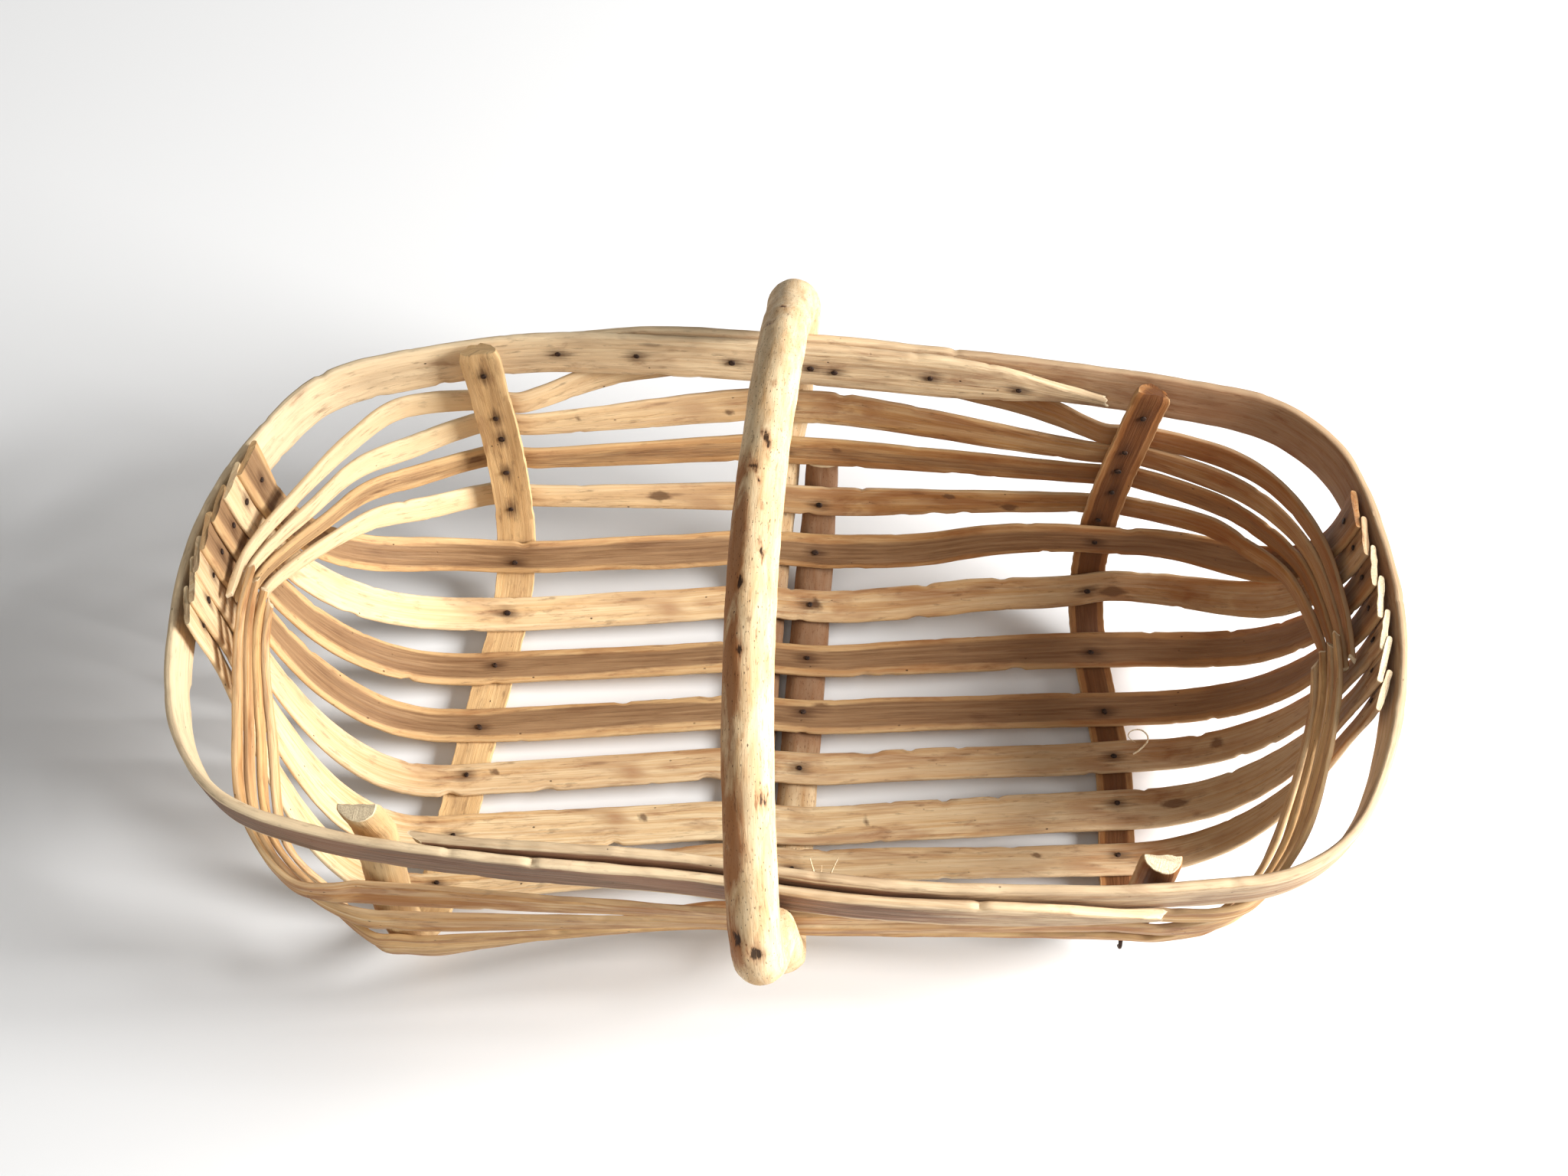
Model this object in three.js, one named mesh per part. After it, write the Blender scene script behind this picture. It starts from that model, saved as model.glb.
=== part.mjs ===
// A long harvest basket of split laths: two rim strips lapped on both long sides, two bent ribs,
// seven floor slats that rise at both ends, four slats along each side, and one round pole bent
// into the handle, whose two ends lie side by side under the floor.
// Millimetres. +X runs along the basket, +Y towards its back, +Z up.

import * as THREE from 'three';

// Driving dimensions

const rimLength = 680;
const rimWidth = 368;
const rimTop = 193;
const rimStripHeight = 30;
const rimStripThickness = 6.5;
const frontLapDrop = 8;

const ribWidth = 25;
const ribThickness = 12;

const slatWidth = 22;
const slatThickness = 4;
const floorTipDrop = 4;
const sideTipWidth = 8;
const sideTipPastMiddle = 14;

const handleHeight = 368;
const handleDiameter = 30;
const handleFootWidth = 25;
const handleFootThickness = 15;

const seatGap = 0.3;
const stationSpacing = 15;

const halfLength = rimLength / 2;
const halfWidth = rimWidth / 2;
const rimBottom = rimTop - rimStripHeight;

// How far the walls lean out for each unit of height.
const wallLeanShare = 0.17;
const wallTilt = Math.atan(wallLeanShare);

const up = new THREE.Vector3(0, 0, 1);

// Curves and skins

function mix(a, b, share) {
  return a + (b - a) * share;
}

function smooth(share) {
  const s = THREE.MathUtils.clamp(share, 0, 1);
  return s * s * (3 - 2 * s);
}

// One closed skin over rings of points, capped at both ends.
function loft(rings) {
  const sides = rings[0].length;
  const positions = rings.flat().flatMap((p) => [p.x, p.y, p.z]);
  const index = [];
  for (let r = 0; r < rings.length - 1; r += 1) {
    for (let k = 0; k < sides; k += 1) {
      const a = r * sides + k;
      const b = r * sides + (k + 1) % sides;
      index.push(a, b, a + sides, b, b + sides, a + sides);
    }
  }
  const last = (rings.length - 1) * sides;
  for (let k = 1; k < sides - 1; k += 1) {
    index.push(0, k + 1, k);
    index.push(last, last + k, last + k + 1);
  }
  const geometry = new THREE.BufferGeometry();
  geometry.setAttribute('position', new THREE.Float32BufferAttribute(positions, 3));
  geometry.setIndex(index);
  return geometry;
}

// Adds to each station the directions across and through the piece there.
function withFrames(stations) {
  return stations.map((station, i) => {
    const before = stations[Math.max(i - 1, 0)].at;
    const after = stations[Math.min(i + 1, stations.length - 1)].at;
    const along = after.clone().sub(before).normalize();
    const across = station.across.clone();
    across.addScaledVector(along, -across.dot(along)).normalize();
    const through = new THREE.Vector3().crossVectors(along, across);
    return { ...station, across, through };
  });
}

// A lath section with softened edges, in half widths and half thicknesses.
const lathSectionShares = [
  [-0.86, -1], [0.86, -1], [1, -0.4], [1, 0.4], [0.86, 1], [-0.86, 1], [-1, 0.4], [-1, -0.4],
];

function lath(stations, sectionShares = lathSectionShares) {
  const rings = withFrames(stations).map(({ at, across, through, width, thickness }) => (
    sectionShares.map(([w, t]) => at.clone()
      .addScaledVector(across, w * width / 2)
      .addScaledVector(through, t * thickness / 2))
  ));
  return loft(rings);
}

// Rim outline: the outer top edge of the rim in plan, from the right end round by the back, as
// shares of the half length and half width. The bent laths are wider on the left, and the front
// bows out beside the handle.

const rimOutlineShares = [
  [0.99, -0.03], [0.972, 0.3], [0.912, 0.65], [0.803, 0.83], [0.64, 0.9], [0.41, 0.95],
  [0.1, 0.99], [-0.28, 1], [-0.53, 0.97], [-0.72, 0.865], [-0.86, 0.7], [-0.945, 0.44],
  [-1, 0.1], [-1, -0.28], [-0.955, -0.63], [-0.86, -0.84], [-0.7, -0.925], [-0.45, -0.97],
  [-0.12, -0.988], [0.12, -1.025], [0.36, -1.02], [0.6, -0.985], [0.77, -0.905], [0.893, -0.72],
  [0.962, -0.42],
];
const outlineCurve = new THREE.CatmullRomCurve3(
  rimOutlineShares.map(([x, y]) => new THREE.Vector3(x * halfLength, y * halfWidth, 0)),
  true,
  'centripetal',
);
const outlineSampleCount = 900;
const outlineSamples = [];
for (let i = 0; i < outlineSampleCount; i += 1) {
  const share = i / outlineSampleCount;
  const at = outlineCurve.getPoint(share);
  const along = outlineCurve.getTangent(share).normalize();
  outlineSamples.push({ at, along, outward: new THREE.Vector3(along.y, -along.x, 0) });
}

function nearestSample(samples, distance) {
  return samples.reduce((best, s) => (distance(s) < distance(best) ? s : best));
}

// The outline's place on one long side from which a point inset by a distance lies at an x, and
// its place at one end at a y.
function outlineAtX(x, face, inset = 0) {
  const half = outlineSamples.filter((s) => s.at.y * face > 0);
  return nearestSample(half, (s) => Math.abs(s.at.x - s.outward.x * inset - x));
}

function outlineAtY(y, end) {
  const half = outlineSamples.filter((s) => s.at.x * end > 0);
  return nearestSample(half, (s) => Math.abs(s.at.y - y));
}

// A place inside the leaning wall below the outline: inset by a distance, at a height.
function insideOutline({ at, outward }, inset, z) {
  return at.clone().addScaledVector(outward, -inset - (rimTop - z) * wallLeanShare).setZ(z);
}

// Rim strips: each is bent to a U. On one long side a strip runs outside the other, on the other
// side inside it, so both laps close.

const lapStep = (rimStripThickness + 2 * seatGap) / Math.cos(wallTilt);
const lapFullShare = 0.66;
const lapStartShare = 0.88;
const rimStations = 46;
const rimTipTaperShare = 0.07;
const rimTipHeightShare = 0.35;
const outerInset = rimStripThickness / Math.cos(wallTilt) / 2;
const rimDepth = 2 * outerInset + lapStep;

// How much of the lap's sideways step is made at a place along the basket.
function lapFade(x) {
  return smooth((lapStartShare - Math.abs(x) / halfLength) / (lapStartShare - lapFullShare));
}

// side is 1 for the strip round the right end and -1 for the strip round the left one. tipShares
// tell how far past the middle its arms reach at the back and at the front.
function rimStrip(side, tipShares) {
  const half = outlineSampleCount / 2;
  const turned = side > 0
    ? [...outlineSamples.slice(half), ...outlineSamples.slice(0, half)]
    : outlineSamples;
  const path = turned.filter(({ at }) => (
    side * at.x > -halfLength * (at.y > 0 ? tipShares.back : tipShares.front)
  ));
  const stations = [];
  for (let i = 0; i <= rimStations; i += 1) {
    const share = i / rimStations;
    const sample = path[Math.round(share * (path.length - 1))];
    const isInner = side * sample.at.y < 0;
    const fade = lapFade(sample.at.x);
    const inset = outerInset + (isInner ? lapStep * fade : 0);
    const isFrontOuter = !isInner && sample.at.y < 0;
    const drop = isFrontOuter ? frontLapDrop * fade : 0;
    const fromTip = Math.min(share, 1 - share) / rimTipTaperShare;
    stations.push({
      at: insideOutline(sample, inset, rimTop - rimStripHeight / 2 - drop),
      across: up.clone().addScaledVector(sample.outward, wallLeanShare),
      width: rimStripHeight * mix(rimTipHeightShare, 1, smooth(fromTip)),
      thickness: rimStripThickness,
    });
  }
  return lath(stations);
}

// Section profiles: the line that a rib, or the handle's foot, follows from its back end down,
// under the floor and up to its front end. It runs straight along the rim and bends below it.

function wallEnd({ sample, inset, face, top, under, shares }) {
  const foot = insideOutline(sample, inset, rimBottom);
  const rise = rimBottom - under;
  return {
    top: new THREE.Vector2(foot.y + face * (top - rimBottom) * wallLeanShare, top),
    foot: new THREE.Vector2(foot.y, rimBottom),
    bulge: new THREE.Vector2(foot.y * shares.bulge, under + rise * shares.bulgeRise),
    turn: new THREE.Vector2(foot.y * shares.turn, under),
    flat: new THREE.Vector2(foot.y * shares.flat, under),
  };
}

function sectionProfile(backEnd, frontEnd, under) {
  const back = wallEnd({ ...backEnd, face: 1, under });
  const front = wallEnd({ ...frontEnd, face: -1, under });
  const profile = new THREE.CurvePath();
  profile.add(new THREE.LineCurve(back.top, back.foot));
  profile.add(new THREE.CubicBezierCurve(back.foot, back.bulge, back.turn, back.flat));
  profile.add(new THREE.LineCurve(back.flat, front.flat));
  profile.add(new THREE.CubicBezierCurve(front.flat, front.turn, front.bulge, front.foot));
  profile.add(new THREE.LineCurve(front.foot, front.top));
  return profile;
}

// The same line moved inwards by a distance, sampled finely.
const profileSampleCount = 500;

function profileSamples(profile, inset) {
  const samples = [];
  for (let i = 0; i <= profileSampleCount; i += 1) {
    const share = i / profileSampleCount;
    const tangent = profile.getTangent(share);
    const inward = new THREE.Vector2(tangent.y, -tangent.x);
    const at = profile.getPoint(share).addScaledVector(inward, inset);
    samples.push({ at, tangent, inward });
  }
  return samples;
}

// Ribs

const ribSeat = (2 * seatGap + ribThickness / 2) / Math.cos(wallTilt);
const lineSteps = 2;
const bendSteps = 15;

const ribs = {
  left: {
    widthShare: 1,
    standUpShares: { back: 0.2, front: 0.04 },
    insets: { back: rimDepth + ribSeat, front: 2 * outerInset + ribSeat },
    placeShare: -0.568,
    skewShares: { back: 0.095, front: 0.07 },
    leanShares: { back: -0.048, front: -0.038 },
    backShares: { bulge: 0.92, bulgeRise: 0.3, turn: 0.87, flat: 0.4 },
    frontShares: { bulge: 1.2, bulgeRise: 0.33, turn: 1, flat: 0.48 },
  },
  right: {
    widthShare: 0.9,
    standUpShares: { back: 0.28, front: 0.2 },
    insets: { back: rimDepth + ribSeat, front: rimDepth + ribSeat },
    placeShare: 0.578,
    skewShares: { back: -0.182, front: -0.01 },
    leanShares: { back: 0.08, front: 0.006 },
    backShares: { bulge: 0.93, bulgeRise: 0.28, turn: 0.9, flat: 0.45 },
    frontShares: { bulge: 0.87, bulgeRise: 0.4, turn: 0.75, flat: 0.29 },
  },
};

// A rib is half a split pole: its flat split face lies inwards, its round face outwards.
const ribSectionShares = [
  [-0.92, -1], [0.92, -1], [1, -0.7], [0.96, -0.1], [0.75, 0.55], [0.32, 1],
  [-0.32, 1], [-0.75, 0.55], [-0.96, -0.1], [-1, -0.7],
];

// Where a rib's plane lies along the basket at a point of its profile.
function ribX(rib, y, z) {
  const side = y > 0 ? 'back' : 'front';
  const rise = z / rimTop;
  const lean = rib.leanShares[side] * halfLength * rise * rise;
  return rib.placeShare * halfLength + rib.skewShares[side] * y + lean;
}

for (const rib of Object.values(ribs)) {
  rib.width = ribWidth * rib.widthShare;
  const outerEdge = Math.sign(rib.placeShare) * rib.width / 2;
  const ribEnd = (side, face, shares) => {
    const inset = rib.insets[side];
    const sample = outlineAtX(ribX(rib, face * halfWidth, rimTop) + outerEdge, face, inset);
    return { sample, inset, top: rimTop + ribWidth * rib.standUpShares[side], shares };
  };
  const backEnd = ribEnd('back', 1, rib.backShares);
  const frontEnd = ribEnd('front', -1, rib.frontShares);
  rib.profile = sectionProfile(backEnd, frontEnd, ribThickness / 2);
  rib.inner = profileSamples(rib.profile, ribThickness / 2);
  rib.outer = profileSamples(rib.profile, -ribThickness / 2);
}

function ribGeometry(rib) {
  const stations = rib.profile.curves.flatMap((curve, n) => {
    const points = curve.getPoints(curve.isLineCurve ? lineSteps : bendSteps);
    return points.slice(n === 0 ? 0 : 1).map((point) => ({
      at: new THREE.Vector3(ribX(rib, point.x, point.y), point.x, point.y),
      across: new THREE.Vector3(-1, 0, 0),
      width: rib.width,
      thickness: ribThickness,
    }));
  });
  return lath(stations, ribSectionShares);
}

// Handle seat: the line of the pole's inner face, outside the rim. At the back the top side slat
// lies between the rim and the pole.

const handlePlaceShare = -0.03;
const handleX = handlePlaceShare * halfLength;
const handleInset = -(slatThickness + 2 * seatGap) / Math.cos(wallTilt);
const handleSeat = sectionProfile(
  {
    sample: outlineAtX(handleX, 1),
    inset: handleInset,
    top: rimTop,
    shares: { bulge: 0.905, bulgeRise: 0.44, turn: 0.86, flat: 0.47 },
  },
  {
    sample: outlineAtX(handleX, -1),
    inset: handleInset,
    top: rimTop,
    shares: { bulge: 0.87, bulgeRise: 0.44, turn: 0.77, flat: 0.345 },
  },
  handleFootThickness,
);
const handleSeatSamples = profileSamples(handleSeat, 0);

// Half the length over which floor slats lie flat on the two feet of the pole, and side slats on
// the one leg.
const feetReach = handleFootWidth + 2 * seatGap;
const legReachShare = 0.8;
const legReach = handleDiameter * legReachShare;

// Slat seats

// Where a flat slat lies in the hollow of a profile, clear of all of it.
function seatInside(samples, centre, width, gap = seatGap) {
  const reach = samples.filter((s) => s.at.distanceTo(centre.at) < width / 2);
  const chord = reach[reach.length - 1].at.clone().sub(reach[0].at).normalize();
  const inward = new THREE.Vector2(chord.y, -chord.x);
  const height = Math.max(...reach.map((s) => s.at.clone().sub(centre.at).dot(inward)));
  const at = centre.at.clone().addScaledVector(inward, height + gap + slatThickness / 2);
  return { at, chord };
}

function sampleAtY(samples, y) {
  const floor = samples.filter((s) => s.at.y < rimBottom / 2);
  return nearestSample(floor, (s) => Math.abs(s.at.x - y));
}

function sampleAtZ(samples, z, face) {
  const wall = samples.filter((s) => s.at.x * face > 0);
  return nearestSample(wall, (s) => Math.abs(s.at.y - z));
}

// Floor slats: the places across the basket where each crosses the left rib, the handle's foot
// and the right rib, and where its left and right tips lie, all as shares of the half width.

const floorSlats = [
  { widthShare: 1, crossShares: [0.63, 0.75, 0.695], tipShares: [0.37, 0.44], liftShare: 0.03 },
  { widthShare: 1, crossShares: [0.467, 0.57, 0.635], tipShares: [0.275, 0.34], liftShare: 0 },
  { widthShare: 1.05, crossShares: [0.255, 0.35, 0.47], tipShares: [0.175, 0.225], liftShare: 0 },
  { widthShare: 1.09, crossShares: [0.033, 0.136, 0.24], tipShares: [0.07, 0.11], liftShare: 0 },
  { widthShare: 1, crossShares: [-0.18, -0.07, 0.06], tipShares: [-0.025, -0.01], liftShare: 0 },
  { widthShare: 1.23, crossShares: [-0.39, -0.28, -0.14], tipShares: [-0.12, -0.125], liftShare: 0 },
  { widthShare: 1.05, crossShares: [-0.6, -0.435, -0.33], tipShares: [-0.22, -0.24], liftShare: 0.03 },
];

const riseReachShare = 0.2;
const riseDropShare = 0.52;
const shingleTurn = 0.3;
const floorRiseSteps = 12;
const floorCrossSteps = 3;
const overRibShare = 0.56;
const ribSpan = (ribs.right.placeShare - ribs.left.placeShare) * halfLength;

function floorSlat({ widthShare, crossShares, tipShares, liftShare }) {
  const width = slatWidth * widthShare;
  const cross = (samples, y, xAt, gap) => {
    const { at, chord } = seatInside(samples, sampleAtY(samples, y), width, gap);
    return {
      at: new THREE.Vector3(xAt(at.x, at.y), at.x, at.y),
      across: new THREE.Vector3(0, -chord.x, -chord.y),
    };
  };
  const slope = (crossShares[2] - crossShares[0]) * halfWidth / ribSpan;
  const crossRib = (rib, share) => [-1, 1].map((step) => {
    const reach = step * rib.width * overRibShare;
    return cross(rib.inner, share * halfWidth + slope * reach, (y, z) => ribX(rib, y, z) + reach);
  });
  const footY = crossShares[1] * halfWidth;
  const crossFeet = (step) => (
    cross(handleSeatSamples, footY, () => handleX + step * feetReach, 2 * seatGap)
  );
  const [leftOuter, leftInner] = crossRib(ribs.left, crossShares[0]);
  const [footLeft, footRight] = [-1, 1].map(crossFeet);
  const [rightInner, rightOuter] = crossRib(ribs.right, crossShares[2]);
  const tipReach = slatThickness / 2 + width / 2 * Math.sin(shingleTurn);
  const tips = [-1, 1].map((end, i) => {
    const sample = outlineAtY(tipShares[i] * halfWidth, end);
    const towardsBack = sample.along.clone().multiplyScalar(Math.sign(sample.along.y));
    const lean = up.clone().addScaledVector(sample.outward, wallLeanShare);
    return {
      at: insideOutline(sample, 2 * outerInset + seatGap + tipReach, rimTop - floorTipDrop),
      across: towardsBack.multiplyScalar(Math.cos(shingleTurn))
        .addScaledVector(sample.outward, Math.sin(shingleTurn)),
      down: lean.multiplyScalar(-riseDropShare * rimTop),
    };
  });
  const run = new THREE.Vector3(1, slope, 0).setLength(riseReachShare * halfLength);
  const lift = up.clone().multiplyScalar(liftShare * rimTop);
  const third = (a, b) => b.at.clone().sub(a.at).setZ(0).multiplyScalar(1 / 3);
  const flatLeg = (a, b, steps) => [a, b, third(a, b), third(b, a), steps];
  const legs = [
    [tips[0], leftOuter, tips[0].down, run.clone().negate().add(lift), floorRiseSteps],
    flatLeg(leftOuter, leftInner, 1),
    flatLeg(leftInner, footLeft, floorCrossSteps),
    flatLeg(footLeft, footRight, 1),
    flatLeg(footRight, rightInner, floorCrossSteps),
    flatLeg(rightInner, rightOuter, 1),
    [rightOuter, tips[1], run.clone().add(lift), tips[1].down, floorRiseSteps],
  ];
  const stations = [];
  legs.forEach(([a, b, aReach, bReach, steps], leg) => {
    const curve = new THREE.CubicBezierCurve3(
      a.at,
      a.at.clone().add(aReach),
      b.at.clone().add(bReach),
      b.at,
    );
    for (let i = leg === 0 ? 0 : 1; i <= steps; i += 1) {
      const share = i / steps;
      stations.push({
        at: curve.getPoint(share),
        across: a.across.clone().lerp(b.across, smooth(share)),
        width,
        thickness: slatThickness,
      });
    }
  });
  return lath(stations);
}

// Side slats: four on each long side, outside the ribs and inside the handle. Round the ends they
// draw together and lie inside the rising floor slats, the front ones inside the back ones.
// Heights are shares of the rim's top: the crossings of left rib, handle and right rib, then for
// each end its bend, corner and tip, and how far it cuts the corner, in slat widths. The top back
// slat passes outside the rim between the ribs.

const sideSlats = {
  back: [
    {
      widthShares: [0.73, 0.91, 0.73],
      crossShares: [0.76, 0.87, 0.8],
      endShares: [[0.795, 0.8, 0.875, 0.3], [0.805, 0.8, 0.865, 0]],
      rimShares: [[-0.34, 0.79], [0.38, 0.79]],
    },
    {
      widthShares: [0.77, 1.14, 0.73],
      crossShares: [0.665, 0.68, 0.715],
      endShares: [[0.65, 0.715, 0.83, 0.42], [0.718, 0.72, 0.82, 0]],
    },
    {
      widthShares: [0.73, 0.91, 0.73],
      crossShares: [0.52, 0.505, 0.615],
      endShares: [[0.55, 0.63, 0.785, 0.5], [0.64, 0.642, 0.775, 0]],
    },
    {
      widthShares: [0.77, 0.91, 0.7],
      crossShares: [0.36, 0.325, 0.48],
      endShares: [[0.44, 0.535, 0.74, 0.55], [0.558, 0.565, 0.73, 0.1]],
    },
  ],
  front: [
    {
      widthShares: [0.82, 0.91, 0.82],
      crossShares: [0.655, 0.7, 0.7],
      endShares: [[0.68, 0.78, 0.87, 0], [0.77, 0.84, 0.855, 0]],
    },
    {
      widthShares: [0.82, 0.91, 0.82],
      crossShares: [0.52, 0.52, 0.52],
      endShares: [[0.55, 0.685, 0.825, 0], [0.63, 0.75, 0.81, 0]],
    },
    {
      widthShares: [0.82, 0.91, 0.82],
      crossShares: [0.385, 0.33, 0.34],
      endShares: [[0.42, 0.595, 0.78, 0], [0.495, 0.66, 0.765, 0]],
    },
    {
      widthShares: [0.82, 0.91, 0.82],
      crossShares: [0.25, 0.17, 0.18],
      endShares: [[0.3, 0.505, 0.735, 0], [0.365, 0.57, 0.72, 0]],
    },
  ],
};

const bendPlaceShare = 0.75;
const cornerPlaceShare = 0.86;
const roundPlaceShare = 0.45;
const nearTipPlaceShare = 0.12;

// How far inside the leaning wall the slats lie at the bend and at the corner of the left and the
// right end, in slat widths. At the front of the left end they belly out past the rim.
const roundInsetShares = {
  back: [{ bend: 0.41, corner: 0.73 }, { bend: 0.77, corner: 0.91 }],
  front: [{ bend: -0.91, corner: 0.18 }, { bend: 0.18, corner: 0.82 }],
};
const widestShare = Math.max(...floorSlats.map((slat) => slat.widthShare));
const shingleDepth = slatThickness + slatWidth * widestShare * Math.sin(shingleTurn);
const backLayer = 2 * outerInset + shingleDepth + 3 * seatGap + slatThickness / 2;
const frontLayer = backLayer + slatThickness + 7 * seatGap;

// How far inside the leaning wall the rising floor slats lie at a height.
const riseBellyShare = 0.15;

function riseInset(z) {
  const lower = 1 - z / rimTop;
  return lower * lower * halfLength * riseBellyShare;
}

const maxLegSteps = 5;

// Between corner and tip: how far the height and the width have come at each place.
const nearTipShares = { height: 0.85, width: 0 };
const roundShares = { height: 0.5, width: 0.3 };
const cornerWidthShare = 0.7;
const cornerCutShare = 0.6;
const roundCutShare = 0.75;

function sideSlat({ widthShares, crossShares, endShares, rimShares = [] }, face) {
  const widths = widthShares.map((share) => slatWidth * share);
  const layer = face > 0 ? backLayer : frontLayer;
  const knots = [];
  const addEnd = (end, [bend, corner, tip, cutShare], width) => {
    const insetShares = roundInsetShares[face > 0 ? 'back' : 'front'][end < 0 ? 0 : 1];
    const place = (sample, share, inset, widthShare) => {
      const z = share * rimTop;
      const at = insideOutline(sample, inset + riseInset(z), z);
      const across = up.clone().addScaledVector(sample.outward, wallLeanShare);
      return { at, across, width: mix(sideTipWidth, width, widthShare) };
    };
    const atY = (share) => outlineAtY(face * share * halfWidth, end);
    const atX = (share) => outlineAtX(end * share * halfLength, face);
    const cut = cutShare * slatWidth;
    const list = [
      place(outlineAtY(-face * sideTipPastMiddle, end), tip, layer, 0),
      place(atY(nearTipPlaceShare), mix(corner, tip, nearTipShares.height), layer, nearTipShares.width),
      place(atY(roundPlaceShare), mix(corner, tip, roundShares.height), layer + cut * roundCutShare, roundShares.width),
      place(atX(cornerPlaceShare), corner, insetShares.corner * slatWidth + cut * cornerCutShare, cornerWidthShare),
      place(atX(bendPlaceShare), bend, insetShares.bend * slatWidth, 1),
    ];
    knots.push(...(end < 0 ? list : list.reverse()));
  };
  const addRib = (rib, share, width) => {
    const { at, tangent, inward } = sampleAtZ(rib.outer, share * rimTop, face);
    const seat = at.clone().addScaledVector(inward, -seatGap - slatThickness / 2);
    const x = ribX(rib, seat.x, seat.y);
    const across = new THREE.Vector3(0, -face * tangent.x, -face * tangent.y);
    for (const step of [-1, 0, 1]) {
      const flat = new THREE.Vector3(x + step * rib.width / 2, seat.x, seat.y);
      knots.push({ at: flat, across, width });
    }
  };
  const addOutsideRim = ([placeShare, share]) => {
    const sample = outlineAtX(placeShare * halfLength, face);
    const outset = (seatGap + slatThickness / 2) / Math.cos(wallTilt);
    const at = insideOutline(sample, -outset, share * rimTop);
    const across = up.clone().addScaledVector(sample.outward, wallLeanShare);
    knots.push({ at, across, width: widths[1] });
  };
  const addHandle = (share) => {
    const centre = sampleAtZ(handleSeatSamples, share * rimTop, face);
    const { at, chord } = seatInside(handleSeatSamples, centre, widths[1]);
    const across = new THREE.Vector3(0, -face * chord.x, -face * chord.y);
    for (const step of [-1, 0, 1]) {
      const flat = new THREE.Vector3(handleX + step * legReach, at.x, at.y);
      knots.push({ at: flat, across, width: widths[1] });
    }
  };
  addEnd(-1, endShares[0], widths[0]);
  addRib(ribs.left, crossShares[0], widths[0]);
  if (rimShares.length) {
    addOutsideRim(rimShares[0]);
    addOutsideRim([handlePlaceShare, crossShares[1]]);
    addOutsideRim(rimShares[1]);
  } else {
    addHandle(crossShares[1]);
  }
  addRib(ribs.right, crossShares[2], widths[2]);
  addEnd(1, endShares[1], widths[2]);
  const curve = new THREE.CatmullRomCurve3(knots.map((k) => k.at), false, 'centripetal');
  const stations = [];
  for (let n = 0; n < knots.length - 1; n += 1) {
    const a = knots[n];
    const b = knots[n + 1];
    const wanted = Math.round(a.at.distanceTo(b.at) / stationSpacing);
    const steps = THREE.MathUtils.clamp(wanted, 1, maxLegSteps);
    for (let i = n === 0 ? 0 : 1; i <= steps; i += 1) {
      const share = i / steps;
      stations.push({
        at: curve.getPoint((n + share) / (knots.length - 1)),
        across: a.across.clone().lerp(b.across, smooth(share)),
        width: mix(a.width, b.width, smooth(share)),
        thickness: slatThickness,
      });
    }
  }
  return lath(stations);
}

// Handle: one round pole, flattened where it lies under the floor. It starts under the floor,
// climbs the back outside the rim, arches over, comes down the front and runs back under the floor
// beside its own beginning, up to the lowest slat of the back.

const handleSides = 12;
const footSteps = 26;
const archSteps = 28;
const footSquareness = 0.6;

// The arch: places across, up and along, and thickness, as shares of the half width, the handle's
// height, the half length and the handle's diameter.
const archShares = [
  [1.01, 0.583, -0.04, 1], [0.83, 0.66, -0.038, 0.97], [0.59, 0.77, -0.037, 0.92],
  [0.27, 0.883, -0.036, 0.88], [-0.11, 0.956, -0.038, 0.86], [-0.49, 0.975, -0.039, 0.86],
  [-0.87, 0.935, -0.033, 0.87], [-1.19, 0.84, -0.018, 0.88], [-1.355, 0.715, -0.003, 0.9],
  [-1.345, 0.645, 0.002, 0.92], [-1.24, 0.565, 0.006, 0.92],
];

// Both feet, by share of the seat line from its back end: that share, place along, roundness and
// size.
const backFootShares = [
  [0.66, -0.07, 0, 0.8], [0.58, -0.07, 0, 1], [0.32, -0.07, 0, 1], [0.2, -0.062, 0.5, 1],
  [0.1, -0.046, 1, 1], [0, -0.036, 1, 1],
];
const frontFootShares = [
  [0.965, 0.009, 1, 0.92], [0.9, 0.015, 0.9, 0.92], [0.8, 0.018, 0.4, 0.96], [0.7, 0.014, 0, 1],
  [0.35, 0.013, 0, 1], [0.18, 0.019, 0, 0.85],
];

function readRows(rows, share) {
  const rising = Math.sign(rows[rows.length - 1][0] - rows[0][0]);
  let n = 0;
  while (n < rows.length - 2 && (share - rows[n + 1][0]) * rising > 0) n += 1;
  const s = smooth((share - rows[n][0]) / (rows[n + 1][0] - rows[n][0]));
  return rows[n].map((value, k) => mix(value, rows[n + 1][k], s));
}

function footStations(rows) {
  const stations = [];
  for (let i = 0; i <= footSteps; i += 1) {
    const share = mix(rows[0][0], rows[rows.length - 1][0], i / footSteps);
    const [, placeShare, round, sizeShare] = readRows(rows, share);
    const deep = mix(handleFootThickness, handleDiameter * sizeShare, round) / 2;
    const wide = mix(handleFootWidth, handleDiameter, round) * sizeShare / 2;
    const tangent = handleSeat.getTangent(share);
    const inward = new THREE.Vector2(tangent.y, -tangent.x);
    const at = handleSeat.getPoint(share).addScaledVector(inward, -deep);
    stations.push({ at: new THREE.Vector3(placeShare * halfLength, at.x, at.y), wide, deep, round });
  }
  return stations;
}

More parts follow.
